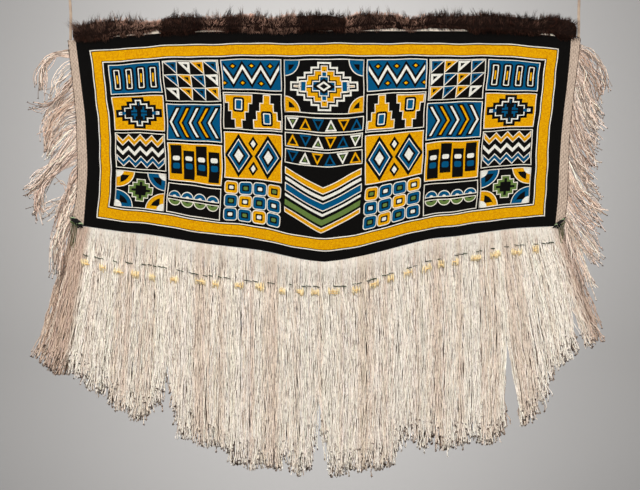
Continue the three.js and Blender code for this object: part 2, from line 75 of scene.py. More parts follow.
# Where the strands of the lower fringe end, by where they start
TIP_ROOT = [-722, -690, -650, -608, -587, -559, -513, -478, -451, -440, -433, -423, -406, -374, -345,
            -313, -270, -254, -182, -119, -104, -81, -60, -30, -12, 8, 23, 78, 151, 200, 213, 242, 284,
            304, 317, 332, 382, 396, 427, 450, 489, 505, 516, 530, 552, 583, 589, 598, 607, 651, 663,
            677, 700]
TIP_X = [-841, -774, -705, -652, -627, -593, -540, -499, -466, -452, -442, -431, -413, -380, -350, -318,
         -274, -257, -184, -121, -105, -82, -61, -30, -12, 8, 24, 79, 153, 203, 216, 246, 288, 309, 322,
         338, 390, 405, 438, 462, 512, 540, 562, 584, 612, 650, 656, 668, 680, 738, 756, 778, 814]
TIP_Z = [-956, -994, -1011, -1058, -1065, -1102, -1136, -1120, -1080, -1064, -1100, -1130, -1196, -1180,
         -1215, -1208, -1226, -1262, -1277, -1275, -1240, -1281, -1302, -1272, -1160, -1219, -1301,
         -1282, -1278, -1270, -1231, -1190, -1214, -1208, -1184, -1221, -1218, -1212, -1182, -1206,
         -1198, -1170, -1152, -1142, -1115, -1066, -1010, -1018, -988, -948, -916, -914, -910]
# Where the fringe parts into lobes: the place, half the gap at the tips, and how far down it begins
PARTINGS = [(-452, 12, 0.8), (-10, 13, 0.76), (228, 7, 0.88), (552, 23, 0.5), (752, 15, 0.55)]

# The side fringes' locks: how many cords, how far back they lie, and the ways of the first and the last cord
SIDE_LOCKS = {
    "left": [
        (15, -6, [(-735, -52), (-774, -63), (-803, -83), (-818, -121), (-821, -184)],
         [(-733, -78), (-762, -72), (-791, -97), (-803, -136), (-802, -194)]),
        (9, 4, [(-732, -85), (-754, -97), (-774, -126), (-787, -165), (-794, -194)],
         [(-726, -141), (-740, -160), (-754, -184), (-767, -206), (-779, -232)]),
        (6, -9, [(-726, -133), (-750, -179), (-774, -198), (-812, -209), (-861, -206)],
         [(-725, -146), (-754, -191), (-779, -207), (-812, -224), (-840, -240)]),
        (26, 2, [(-726, -136), (-754, -170), (-779, -208), (-798, -232), (-808, -271)],
         [(-717, -213), (-750, -237), (-779, -266), (-795, -295), (-800, -343)]),
        (30, -2, [(-717, -203), (-745, -218), (-774, -251), (-791, -295), (-799, -357)],
         [(-711, -300), (-735, -309), (-762, -333), (-783, -357), (-798, -381)]),
        (34, -7, [(-712, -266), (-750, -333), (-783, -377), (-817, -425), (-857, -450)],
         [(-709, -362), (-745, -381), (-779, -415), (-812, -444), (-852, -480)]),
        (14, -1, [(-710, -324), (-759, -391), (-803, -439), (-824, -487), (-841, -559)],
         [(-710, -386), (-754, -405), (-793, -434), (-817, -487), (-787, -557)]),
        (10, -5, [(-710, -314), (-764, -391), (-812, -444), (-829, -492), (-853, -533)],
         [(-710, -357), (-754, -401), (-798, -439), (-812, -497), (-824, -550)]),
        (2, 6, [(-710, -405), (-717, -439), (-733, -450), (-754, -438), (-774, -426)],
         [(-711, -430), (-720, -451), (-735, -456), (-757, -443), (-771, -434)]),
        (34, 0, [(-710, -381), (-726, -410), (-733, -449), (-752, -492), (-776, -569)],
         [(-713, -487), (-730, -516), (-744, -550), (-754, -598), (-763, -651)]),
        (8, 5, [(-713, -470), (-740, -481), (-764, -491), (-798, -499), (-840, -513)],
         [(-714, -499), (-740, -502), (-764, -516), (-781, -538), (-803, -555)]),
        (26, -3, [(-715, -507), (-740, -535), (-767, -569), (-781, -622), (-784, -699)],
         [(-726, -547), (-733, -579), (-744, -627), (-754, -675), (-763, -747)]),
    ],
    "right": [
        (22, 1, [(751, -36), (782, -54), (806, -79), (820, -117), (825, -160)],
         [(746, -78), (761, -107), (778, -141), (795, -174), (808, -208)]),
        (28, -4, [(747, -69), (764, -112), (782, -165), (800, -218), (823, -248)],
         [(735, -146), (749, -184), (766, -227), (783, -266), (802, -297)]),
        (28, 3, [(736, -136), (752, -184), (773, -232), (793, -275), (808, -304)],
         [(724, -232), (735, -275), (752, -314), (771, -343), (788, -369)]),
        (28, -6, [(727, -213), (742, -266), (764, -314), (783, -353), (802, -379)],
         [(716, -324), (728, -362), (747, -396), (766, -420), (784, -439)]),
        (26, 0, [(717, -309), (735, -357), (759, -396), (783, -430), (812, -458)],
         [(712, -405), (728, -444), (752, -478), (781, -507), (812, -535)]),
        (26, -5, [(712, -396), (732, -439), (764, -482), (795, -511), (832, -533)],
         [(707, -502), (728, -535), (754, -559), (778, -579), (800, -605)]),
        (22, -8, [(708, -487), (728, -531), (756, -564), (783, -603), (815, -651)],
         [(703, -550), (720, -584), (742, -617), (764, -651), (793, -687)]),
        (26, 3, [(705, -507), (723, -559), (744, -617), (769, -675), (805, -776)],
         [(701, -557), (706, -603), (713, -651), (723, -699), (732, -747)]),
    ],
}

# The fur strip along the top edge: its top and bottom by place
FUR_X = [-722, -696, -644, -592, -575, -557, -545, -528, -510, -493, -478, -466, -446, -383, -352, -310,
         -278, -194, -139, -93, 23, 67, 104, 209, 255, 313, 390, 410, 430, 487, 560, 626, 645, 668, 690,
         705, 738]
FUR_TOP = [12, 22, 32, 36, 34, 32, 30, 29, 27, 26, 27, 31, 43, 46, 42, 38, 47, 48, 37, 48, 49, 41, 54,
           49, 38, 48, 47, 47, 49, 52, 45, 37, 41, 46, 40, 37, 27]
FUR_BOTTOM = [-30, -32, -30, -17, -19, -12, -13, -16, -8, -3, 3, -11, -12, -10, -1, 0, -5, -4, -7, -6,
              -2, -6, -4, 6, -2, 6, 3, 3, -7, -8, -10, -14, -10, -13, -28, -28, -26]
FUR_FRONT = 14
FUR_BACK = 11
# How pale and thin the fur is by place, from 0 to 1
PALE_X = [-722, -704, -680, -640, -600, -563, -520, -472, -464, -350, -344, -310, -286, -278, -236,
          -228, -150, -76, -66, 0, 64, 72, 108, 116, 152, 162, 222, 232, 290, 302, 400, 440, 478, 556,
          612, 640, 652, 738]
PALE = [0.4, 0.15, 0.1, 0.25, 0.4, 0.8, 1, 1, 0.08, 0.05, 0.5, 0.85, 0.7, 0.08, 0.12, 0.8, 0.8, 0.6,
        0.05, 0.02, 0.06, 0.75, 0.7, 0.12, 0.15, 0.5, 0.5, 0.8, 0.7, 0.1, 0.06, 0.08, 0.04, 0.05, 0.06,
        0.14, 0.03, 0.03]

# The two twined rows: how far below the cloth's edge they lie, by place
ROW_X = [-700, -600, -460, -365, -220, -140, -60, 10, 90, 200, 280, 375, 520, 684]
GREEN_DROP = [82, 89, 88, 92, 92, 87, 77, 74, 79, 72, 67, 56, 50, 47]
YELLOW_DROP = [104, 116, 121, 112, 110, 106, 94, 89, 98, 87, 83, 75, 69, 63]

# The weaving pattern lies in a flat frame of its own, in millimetres: x from the middle, z down from the top
PATTERN_HALF = 700
PATTERN_DROP = 617
BORDER = 75
FIELD_TOP = 80
FIELD_WIDE = 0.986
FIELD_TALL = 0.97
GRID_STEP = 12
# How far inside the edge the woven lines begin to waver, and how often a place on the cloth is bettered
LOOSE_WITHIN = 30
LAY_STEPS = 4

BLACK, WHITE, GOLD, BLUE, GREEN = range(5)


def linear(red, green, blue):
    """A colour given from 0 to 255, as Blender's shaders read it."""
    values = np.array([red, green, blue]) / 255
    return np.where(values <= 0.04045, values / 12.92, ((values + 0.055) / 1.055) ** 2.4)


DYES = np.array([
    linear(11, 10, 9),
    linear(211, 208, 197),
    linear(202, 143, 3),
    linear(3, 72, 108),
    linear(88, 110, 54),
])
BRAID_WHITE = linear(228, 221, 206)
# Painted shade: the warm dark colour of the short flecks of shade between a yarn's crinkles
CRINKLE_SHADE = linear(122, 88, 70)


# Reading the tables

def smooth_read(keys, values, at):
    """Values along a smooth curve through a table's rows."""
    keys = np.array(keys, float)
    values = np.array(values, float)
    at = np.clip(at, keys[0], keys[-1])
    before = np.maximum(np.arange(len(keys)) - 1, 0)
    after = np.minimum(np.arange(len(keys)) + 1, len(keys) - 1)
    slopes = (values[after] - values[before]) / (keys[after] - keys[before])
    low = np.clip(np.searchsorted(keys, at, side="right") - 1, 0, len(keys) - 2)
    span = keys[low + 1] - keys[low]
    t = (at - keys[low]) / span
    rise = t * t * (3 - 2 * t)
    bow = slopes[low] * (1 - t) - slopes[low + 1] * t
    return values[low] * (1 - rise) + values[low + 1] * rise + bow * span * t * (1 - t)


def ease(t):
    """A soft step from 0 to 1."""
    t = np.clip(t, 0, 1)
    return t * t * (3 - 2 * t)


def fold(x, z):
    """How far the hanging cloth stands forward or back, in millimetres."""
    growth = ease((-z - FOLD_START) / (FOLD_FULL - FOLD_START))
    depth = sum(deep * np.exp(-(((x - at) / width) ** 2)) for at, width, deep in FOLDS)
    return growth * depth


def cloth_row(across):
    """What the height depends on at a share of the way across: the top, the corner line and the pull."""
    top = smooth_read(TOP_X, TOP_Z, TOP_X[0] + (TOP_X[-1] - TOP_X[0]) * across)
    corner = LOW_Z[0] + (LOW_Z[-1] - LOW_Z[0]) * across
    pull = smooth_read(LOW_X, LOW_Z, LOW_X[0] + (LOW_X[-1] - LOW_X[0]) * across) - corner
    return top, corner, pull


def column_height(row, down):
    """The height in one column of the cloth, at a share of the way down."""
    top, corner, pull = row
    return top * (1 - down) + corner * down + pull * down**POINT_PULL


def on_cloth(across, down):
    """The place on the hanging cloth at a share across and a share down, in millimetres."""
    left = smooth_read(SIDE_SHARE, LEFT_X, down)
    right = smooth_read(SIDE_SHARE, RIGHT_X, down)
    x = left + (right - left) * across
    return x, column_height(cloth_row(across), down)


def keep_borders(from_start, from_end, flat_length, length):
    """Where a flat place comes to lie when the borders keep their width and only the middle stretches."""
    stretch = (length - 2 * BORDER) / (flat_length - 2 * BORDER)
    middle = BORDER + (from_start - BORDER) * stretch
    end_or_middle = np.where(from_end < BORDER, length - from_end, middle)
    return np.where(from_start < BORDER, from_start, end_or_middle)


def share_down(row, below, down):
    """The share down at which a column of the cloth reaches a length below its top, from a first guess."""
    top, corner, pull = row
    for _ in range(LAY_STEPS):
        slope = corner - top + POINT_PULL * pull * down ** (POINT_PULL - 1)
        down = np.clip(down - (column_height(row, down) - top + below) / slope, 0, 1)
    return down


def loosen(x, z, flat_x, drop):
    """Lets the woven lines waver a little, inside the cloth's edge."""
    from_side = PATTERN_HALF - np.abs(flat_x)
    loose = ease(np.minimum(from_side, np.minimum(drop, PATTERN_DROP - drop)) / LOOSE_WITHIN)
    x = x + loose * (0.9 * np.sin(drop / 33 + flat_x / 87) + 0.6 * np.sin(drop / 14.3 + flat_x / 41))
    z = z + loose * (1.0 * np.sin(flat_x / 37 + drop / 71) + 0.6 * np.sin(flat_x / 15.7 - drop / 39))
    return x, z


def lay_pattern(flat_x, flat_z):
    """Where a place in the flat pattern lies on the hanging cloth."""
    from_left = flat_x + PATTERN_HALF
    from_right = PATTERN_HALF - flat_x
    drop = -flat_z
    down = drop / PATTERN_DROP
    for _ in range(LAY_STEPS):
        width = smooth_read(SIDE_SHARE, RIGHT_X, down) - smooth_read(SIDE_SHARE, LEFT_X, down)
        across = keep_borders(from_left, from_right, 2 * PATTERN_HALF, width) / width
        row = cloth_row(across)
        top, corner, pull = row
        below = keep_borders(drop, PATTERN_DROP - drop, PATTERN_DROP, top - corner - pull)
        down = share_down(row, below, down)
    x, z = on_cloth(across, down)
    return loosen(x, z, flat_x, drop)


# Making meshes and objects

def finish_piece(obj, nodes):
    """Puts a piece on the one body and hides the CAD nodes that it stands for."""
    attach(obj, "root")
    if nodes:
        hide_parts(*nodes)
    return obj


def make_object(name, points, triangles, material, uv=None, tone=None, corner_colours=None, smooth=True):
    """A mesh object from arrays: points in millimetres, uv by corner, tone by point."""
    mesh = bpy.data.meshes.new(name)
    points = np.asarray(points, np.float32) * MM
    triangles = np.asarray(triangles, np.int32)
    mesh.vertices.add(len(points))
    mesh.vertices.foreach_set("co", points.ravel())
    mesh.loops.add(triangles.size)
    mesh.loops.foreach_set("vertex_index", triangles.ravel())
    mesh.polygons.add(len(triangles))
    mesh.polygons.foreach_set("loop_start", np.arange(0, triangles.size, 3, dtype=np.int32))
    mesh.update(calc_edges=True)
    mesh.polygons.foreach_set("use_smooth", np.full(len(triangles), smooth))
    if uv is not None:
        layer = mesh.uv_layers.new(name="weave")
        layer.uv.foreach_set("vector", np.asarray(uv, np.float32).ravel())
    if tone is not None:
        layer = mesh.color_attributes.new(name="tone", type="FLOAT_COLOR", domain="POINT")
        layer.data.foreach_set("color", with_alpha(tone))
    if corner_colours is not None:
        layer = mesh.color_attributes.new(name="dye", type="FLOAT_COLOR", domain="CORNER")
        layer.data.foreach_set("color", with_alpha(corner_colours))
    mesh.materials.append(material)
    obj = bpy.data.objects.new(name, mesh)
    bpy.context.scene.collection.objects.link(obj)
    return obj


def with_alpha(colours):
    """Colours as an attribute stores them, in one row with a full alpha each."""
    colours = np.asarray(colours, np.float32)
    return np.hstack([colours, np.ones((len(colours), 1), np.float32)]).ravel()


def unit(steps):
    """Each step made one long."""
    return steps / np.linalg.norm(steps, axis=1, keepdims=True)


def tubes(paths, radii, sides=4, flatten=1.0, turn=0.0, start=None):
    """Closed tubes along paths (strand, ring, xyz) with radii (strand, ring): points, triangles and uv.
    Start is where each strand's own length begins in the uv map, so that no two strands look alike."""
    count, rings = paths.shape[:2]
    along = np.gradient(paths, axis=1)
    along /= np.linalg.norm(along, axis=2, keepdims=True)
    across = np.cross(np.array([0.0, 1.0, 0.0]), along)
    across /= np.linalg.norm(across, axis=2, keepdims=True)
    depth = np.cross(along, across)
    angles = TURN * np.arange(sides) / sides + turn
    sideways = np.cos(angles)[:, None] * across[:, :, None, :]
    ring = sideways + flatten * np.sin(angles)[:, None] * depth[:, :, None, :]
    points = paths[:, :, None, :] + ring * radii[:, :, None, None]
    triangles, uv_index = tube_faces(count, rings, sides)
    run = np.concatenate([
        np.zeros((count, 1)),
        np.cumsum(np.linalg.norm(np.diff(paths, axis=1), axis=2), axis=1),
    ], axis=1) * MM
    if start is not None:
        run = run + start[:, None]
    ring_of, side_of = uv_index
    uv = np.stack([side_of / sides, run.ravel()[ring_of]], axis=1)
    return points.reshape(-1, 3), triangles, uv


def tube_faces(count, rings, sides):
    """Triangles of closed tubes, and for each corner its ring and its side for the uv."""
    base = np.arange(count)[:, None, None] * rings * sides
    ring = np.arange(rings - 1)[None, :, None]
    side = np.arange(sides)[None, None, :]
    beside = (side + 1) % sides
    a = base + ring * sides + side
    b = base + ring * sides + beside
    c = a + sides
    d = b + sides
    walls = np.stack([a, b, c, b, d, c], axis=-1).reshape(-1, 3)
    ring_number = np.arange(count)[:, None, None] * rings + ring + 0 * side
    side_number = side + 0 * ring_number
    wall_rings = np.stack([ring_number, ring_number, ring_number + 1,
                           ring_number, ring_number + 1, ring_number + 1], axis=-1).ravel()
    wall_sides = np.stack([side_number, side_number + 1, side_number,
                           side_number + 1, side_number + 1, side_number], axis=-1).ravel()
    fan = np.array([[0, k + 1, k] for k in range(1, sides - 1)])
    starts = (base[:, 0, 0, None, None] + fan[None]).reshape(-1, 3)
    ends = (base[:, 0, 0, None, None] + (rings - 1) * sides + fan[None][:, :, ::-1]).reshape(-1, 3)
    caps = np.concatenate([starts, ends])
    cap_rings = caps.ravel() // sides
    cap_sides = caps.ravel() % sides
    triangles = np.concatenate([walls, caps])
    return triangles, (np.concatenate([wall_rings, cap_rings]), np.concatenate([wall_sides, cap_sides]))


def merge_parts(parts):
    """Joins several (points, triangles, uv, tone) into one."""
    offset = 0
    joined = []
    for points, triangles, uv, tone in parts:
        joined.append((points, triangles + offset, uv, tone))
        offset += len(points)
    return tuple(np.concatenate([part[k] for part in joined]) for k in range(4))


# Materials

# The span that most of a noise or a wave lies in
MOST = (0.3, 0.7)
# How far a wave texture of scale 1 turns over one unit
WAVE_TURN = 20
# Where the short dark flecks of painted shade between a yarn's crinkles begin and are full, in their noise
CRINKLE_SHADE_SPAN = (0.34, 0.43)
CRINKLE_SHADE_SCALE = 85
# The sockets of a colour mix node
MIX_FACTOR, MIX_FIRST, MIX_SECOND, MIX_RESULT = 0, 6, 7, 2


def new_material(name, roughness, sheen=0.0, specular=0.15):
    """A plain matt material and its shader."""
    material = bpy.data.materials.new(name)
    material.use_nodes = True
    shader = material.node_tree.nodes["Principled BSDF"]
    shader.inputs["Roughness"].default_value = roughness
    shader.inputs["Specular IOR Level"].default_value = specular
    shader.inputs["Sheen Weight"].default_value = sheen
    return material, shader


def add_node(material, kind, **values):
    """A node whose values are sockets by name, or else settings."""
    node = material.node_tree.nodes.new(kind)
    for name, value in values.items():
        socket = node.inputs.get(name.replace("_", " "))
        if socket is not None:
            socket.default_value = value
        else:
            setattr(node, name, value)
    return node


def link(material, start, end):
    material.node_tree.links.new(start, end)


def plain_colour(material, colour):
    """One colour as an output that other nodes can read."""
    node = add_node(material, "ShaderNodeRGB")
    node.outputs[0].default_value = (*colour, 1)
    return node.outputs[0]


def attribute_colour(material, name):
    return add_node(material, "ShaderNodeAttribute", attribute_name=name).outputs["Color"]


def move_span(material, value, span, low, high):
    """A value between two ends, moved to lie between two others."""
    node = add_node(material, "ShaderNodeMapRange", From_Min=span[0], From_Max=span[1], To_Min=low,
                    To_Max=high)
    link(material, value, node.inputs["Value"])
    return node.outputs["Result"]


def noise_at(material, place, scale, detail, stretch=(1, 1, 1)):
    """Noise over the places that another node gives."""
    mapping = add_node(material, "ShaderNodeMapping", Scale=stretch)
    noise = add_node(material, "ShaderNodeTexNoise", Scale=scale, Detail=detail)
    link(material, place, mapping.inputs["Vector"])
    link(material, mapping.outputs["Vector"], noise.inputs["Vector"])
    return noise.outputs["Fac"]


def object_noise(material, scale, detail):
    """Noise that goes with the object, in parts per metre."""
    place = add_node(material, "ShaderNodeTexCoord")
    return noise_at(material, place.outputs["Object"], scale, detail)


def uv_place(material):
    """The piece's own uv map, whose unit is a metre along v."""
    return add_node(material, "ShaderNodeUVMap", uv_map="weave").outputs["UV"]


def uv_wave(material, period, direction, distortion, detail_scale):
    """Ridges across the piece's own uv map."""
    wave = add_node(material, "ShaderNodeTexWave", Scale=TURN / WAVE_TURN / period, Distortion=distortion,
                    Detail_Scale=detail_scale, bands_direction=direction)
    link(material, uv_place(material), wave.inputs["Vector"])
    return wave.outputs["Fac"]


def vary(material, colour, fac, low, high, hue=0.0):
    """The colour made darker and lighter by a noise, with a little change of hue."""
    shift = add_node(material, "ShaderNodeHueSaturation")
    link(material, colour, shift.inputs["Color"])
    link(material, move_span(material, fac, MOST, low, high), shift.inputs["Value"])
    if hue:
        link(material, move_span(material, fac, MOST, 0.5 - hue, 0.5 + hue), shift.inputs["Hue"])
    return shift.outputs["Color"]


def bump(material, shader, height, depth, strength):
    """Lets a height, in metres of depth, catch the light."""
    node = add_node(material, "ShaderNodeBump", Strength=strength, Distance=depth)
    link(material, height, node.inputs["Height"])
    link(material, node.outputs["Normal"], shader.inputs["Normal"])


def multiply(material, first, second):
    node = add_node(material, "ShaderNodeMath", operation="MULTIPLY")
    link(material, first, node.inputs[0])
    link(material, second, node.inputs[1])
    return node.outputs["Value"]


def mix_colours(material, fac, first, second):
    node = add_node(material, "ShaderNodeMix", data_type="RGBA")
    link(material, fac, node.inputs[MIX_FACTOR])
    link(material, first, node.inputs[MIX_FIRST])
    link(material, second, node.inputs[MIX_SECOND])
    return node.outputs[MIX_RESULT]


def woven_wool():
    """Twined wool: fine level rows with slanting stitches, a little mottled, with painted shade in the
    hollows of the weave.
    """
    material, shader = new_material("woven_wool", 0.95, specular=0.04)
    rows = uv_wave(material, 0.0024, "Y", 0.6, 3.0)
    stitches = uv_wave(material, 0.0026, "DIAGONAL", 0.8, 3.0)
    weave = multiply(material, rows, stitches)
    mottle = object_noise(material, 240, 3)
    colour = vary(material, attribute_colour(material, "dye"), mottle, 0.82, 1.14, hue=0.012)
    # Painted shade: the colour is darker where the weave's height is low, in its hollows
    weave_shaded = vary(material, colour, weave, 0.86, 1.06)
    link(material, weave_shaded, shader.inputs["Base Color"])
    bump(material, shader, weave, 0.0007, 0.6)
    return material


def yarn(name, twist=0.004, low=0.95, high=1.04, scale=130, crinkle_shade=0.55):
    """Spun yarn: the tone is the strand's own, the twist and the short dark flecks of painted shade between
    its crinkles run along its uv map.
    """
    material, shader = new_material(name, 0.9, sheen=0.03)
    tone = attribute_colour(material, "tone")
    colour = vary(material, tone, object_noise(material, scale, 3), low, high)
    kinks = noise_at(material, uv_place(material), CRINKLE_SHADE_SCALE, 1, stretch=(0.004, 1, 1))
    # Painted shade: short dark flecks along each strand, where its crinkles would shade it
    painted_shade_spots = move_span(material, kinks, CRINKLE_SHADE_SPAN, crinkle_shade, 0)
    crinkle_shaded = mix_colours(material, painted_shade_spots, colour, plain_colour(material, CRINKLE_SHADE))
    link(material, crinkle_shaded, shader.inputs["Base Color"])
    bump(material, shader, uv_wave(material, twist, "DIAGONAL", 0.4, 2.0), 0.0006, 0.5)
    return material


def hair():
    """Soft fur: the tone comes from each hair."""
    material, shader = new_material("fur", 0.8, specular=0.04)
    tone = attribute_colour(material, "tone")
    colour = vary(material, tone, object_noise(material, 60, 3), 0.75, 1.25)
    link(material, colour, shader.inputs["Base Color"])
    return material


def skin(name, colour, roughness, low, high, scale):
    """Hide with fine grain and soft stains."""
    material, shader = new_material(name, roughness, sheen=0.1)
    base = plain_colour(material, colour)
    stained = vary(material, base, object_noise(material, scale, 4), low, high, hue=0.008)
    link(material, stained, shader.inputs["Base Color"])
    bump(material, shader, object_noise(material, scale * 14, 3), 0.0005, 0.5)
    return material


# The camera and the two thongs

CAMERA_PLACE = (-0.0058, -4.382, -0.6197)
CAMERA_LENS = 85
CAMERA_SENSOR = 36
TIE_RINGS = 26
TIE_SIDES = 12


def make_camera():
    data = bpy.data.cameras.new("camera")
    data.lens = CAMERA_LENS
    data.sensor_width = CAMERA_SENSOR
    data.dof.use_dof = False
    camera = bpy.data.objects.new("camera", data)
    camera.location = CAMERA_PLACE
    camera.rotation_euler = (math.pi / 2, 0, 0)
    bpy.context.scene.collection.objects.link(camera)
    bpy.context.scene.camera = camera


def curve_through(points, count):
    """A smooth line through a few points, as evenly spaced places."""
    points = np.array(points, float)
    keys = np.concatenate([[0], np.cumsum(np.linalg.norm(np.diff(points, axis=0), axis=1))])
    at = np.linspace(0, keys[-1], count)
    return np.stack([smooth_read(keys, points[:, k], at) for k in range(3)], axis=1)


def make_tie(name, route, material):
    """A flat hide thong, a little wavy at its edges."""
    path = curve_through(route, TIE_RINGS)
    edge = 1 + 0.03 * np.sin(np.arange(TIE_RINGS) * 1.7)
    radii = (TIE_WIDTH / 2 * edge)[None] / MM
    flatten = TIE_THICKNESS / TIE_WIDTH
    points, triangles, uv = tubes(path[None] / MM, radii, sides=TIE_SIDES, flatten=flatten)
    obj = make_object(f"thong_{name}", points, triangles, material, uv)
    finish_piece(obj, [f"tie_{name}"])


make_camera()
thong_hide = skin("thong", linear(158, 138, 120), 0.8, 0.7, 1.2, 45)
for tie_side, tie_route in (("left", TIE_LEFT), ("right", TIE_RIGHT)):
    make_tie(tie_side, tie_route, thong_hide)
    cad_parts[f"tie_knot_{tie_side}"].material_slots[0].material = thong_hide


# The weaving pattern, as flat shapes: each a colour, its corners and whether a white line runs round it

SAME_PLACE = 0.01


def box_shape(left, top, right, bottom):
    return [(left, top), (right, top), (right, bottom), (left, bottom)]


def diamond(x, y, half_width, half_height):
    return [(x - half_width, y), (x, y - half_height), (x + half_width, y), (x, y + half_height)]


def stepped(x, y, half_width, half_height, count):
    """A diamond with square steps."""
    corner = []
    for k in range(count):
        corner.append((k / count, 1 - k / count))
        corner.append(((k + 1) / count, 1 - k / count))
    quarters = [(1, -1), (1, 1), (-1, 1), (-1, -1)]
    points = []
    for number, (way_x, way_y) in enumerate(quarters):
        part = corner if number % 2 == 0 else corner[::-1]
        points += [(x + way_x * half_width * a, y + way_y * half_height * b) for a, b in part]
    kept = []
    for point in points:
        if not kept or math.dist(point, kept[-1]) > SAME_PLACE:
            kept.append(point)
    if math.dist(kept[0], kept[-1]) < SAME_PLACE:
        kept.pop()
    return kept


def vee(x, top, half_width, rise, thickness):
    """A chevron that points down."""
    upper = [(x - half_width, top), (x, top + rise), (x + half_width, top)]
    lower = [(a, b + thickness) for a, b in upper[::-1]]
    return upper + lower


def side_vee(left, y, width, half_height, thickness):
    """A chevron that points right."""
    return [(left, y - half_height), (left + width, y), (left, y + half_height),
            (left - thickness, y + half_height), (left + width - thickness, y),
            (left - thickness, y - half_height)]


def zigzag(left, right, y, swing, thickness, count):
    """A level band that goes up and down."""
    line = [(left + (right - left) * k / count, y + (swing if k % 2 else -swing)) for k in range(count + 1)]
    upper = [(a, b - thickness / 2) for a, b in line]
    lower = [(a, b + thickness / 2) for a, b in line[::-1]]
    return upper + lower


def fan(x, y, radius, start, end, count=12):
    """A slice of a disc with its point at (x, y), angles in quarter turns from the right, downwards."""
    angles = [math.pi / 2 * (start + (end - start) * k / count) for k in range(count + 1)]
    return [(x, y)] + [(x + radius * math.cos(a), y + radius * math.sin(a)) for a in angles]


def rounded(left, top, right, bottom, radius, count=5):
    """A box with round corners."""
    points = []
    centres = [(right - radius, top + radius), (right - radius, bottom - radius),
               (left + radius, bottom - radius), (left + radius, top + radius)]
    for number, (x, y) in enumerate(centres):
        for k in range(count + 1):
            turn = math.pi / 2 * (number - 1 + k / count)
            points.append((x + radius * math.cos(turn), y + radius * math.sin(turn)))
    return points


def round_nest(shapes, left, top, right, bottom, radius, *layers):
    """Boxes with round corners, each inside the last."""
    for colour, inset, lined in layers:
        corner = max(radius - inset, 3)
        outline = rounded(left + inset, top + inset, right - inset, bottom - inset, corner)
        shapes.append((colour, outline, lined))


def shrink(points, inset):
    """The same outline drawn in by an even margin."""
    corners = np.array(points, float)
    before = np.roll(corners, 1, axis=0)
    after = np.roll(corners, -1, axis=0)
    area = np.sum(corners[:, 0] * after[:, 1] - after[:, 0] * corners[:, 1])
    way = math.copysign(1, area)

    def inward(start, end):
        run = end - start
        run = run / np.linalg.norm(run, axis=1, keepdims=True)
        return way * np.stack([-run[:, 1], run[:, 0]], axis=1)

    first = inward(before, corners)
    second = inward(corners, after)
    middle = first + second
    middle = middle / np.maximum(np.sum(middle * first, axis=1, keepdims=True), 0.2)
    return [tuple(p) for p in corners + middle * inset]


def nest(shapes, points, *layers):
    """One outline several times, each drawn in by its own margin."""
    for colour, inset, lined in layers:
        shapes.append((colour, shrink(points, inset) if inset else points, lined))


def centre_medallion(shapes):
    """A stepped medallion in a panel with a quarter disc in each corner."""
    nest(shapes, box_shape(-116, 2, 116, 148), (BLACK, 0, True))
    for x, top_start, foot_start in ((-116, 0, -1), (116, 1, 2)):
        nest(shapes, fan(x, 2, 44, top_start, top_start + 1), (BLUE, 0, True), (BLACK, 12, False))
        nest(shapes, fan(x, 148, 44, foot_start, foot_start + 1), (GOLD, 0, True), (BLACK, 12, False))
    nest(shapes, stepped(0, 75, 100, 66, 5), (WHITE, 0, False), (BLACK, 5, False), (GOLD, 11, True),
         (BLACK, 22, False), (BLUE, 27, True))
    nest(shapes, diamond(0, 75, 34, 22), (BLACK, 0, False), (WHITE, 7, False), (BLACK, 12, False))


def centre_triangles(shapes):
    """Three rows of triangles that point up and down in turn."""
    for row in range(3):
        top = 160 + row * 46
        nest(shapes, box_shape(-116, top, 116, top + 38), (BLACK, 0, True))
        for k in range(6):
            left = -113 + k * 38
            up = [(left + 1, top + 35), (left + 19, top + 3), (left + 37, top + 35)]
            flip = [(a, 2 * top + 38 - b) for a, b in up][::-1]
            outer = (WHITE, GOLD, BLUE)[(k + row) % 3]
            inner = (GREEN, BLACK, BLACK)[(k + row) % 3]
            outline = up if (k + row) % 2 else flip
            nest(shapes, outline, (outer, 0, False), (BLACK, 4.5, False), (inner, 7, False))


def centre_chevrons(shapes):
    """Chevrons down to the point."""
    bands = [(GOLD, 17), (BLACK, 8), (WHITE, 9), (BLACK, 9), (BLUE, 20), (BLACK, 8), (WHITE, 7), (BLACK, 9),
             (GREEN, 15), (BLACK, 8), (GOLD, 12)]
    at = 304
    for colour, thickness in bands:
        if colour != BLACK:
            shapes.append((colour, vee(0, at, 114, 44, thickness), colour in (BLUE, GOLD)))
        at += thickness


def centre_panels(shapes):
    """The middle column, from the medallion down to the point."""
    centre_medallion(shapes)
    centre_triangles(shapes)
    centre_chevrons(shapes)


def towers(shapes):
    """A stepped tower and its mirror image upside down, each round a pebble."""
    nest(shapes, box_shape(126, 100, 298, 206), (BLACK, 0, True))
    for x, upright, low in ((170, True, 150), (254, False, 112)):
        tower = []
        for k in range(4):
            tower += [(x - 40 + 10 * k, 200 - 24 * k), (x - 40 + 10 * k, 176 - 24 * k)]
        tower += [(2 * x - a, b) for a, b in tower[::-1]]
        if not upright:
            tower = [(a, 306 - b) for a, b in tower]
        nest(shapes, tower, (GOLD, 0, True))
        round_nest(shapes, x - 17, low, x + 17, low + 44, 8, (BLACK, 0, False), (WHITE, 6, False),
                   (BLUE, 9, False))


def pebble_rows(shapes):
    """Three rows of round-cornered boxes."""
    for row in range(3):
        top = 360 + 40 * row
        for k in range(4):
            left = 127 + 43 * k
            outer = (GOLD, BLUE, BLUE)[(k + row) % 3]
            inner = WHITE if (k + row) % 2 else GREEN
            round_nest(shapes, left, top, left + 39, top + 36, 9, (outer, 0, True), (BLACK, 9, False),
                       (inner, 13, False))


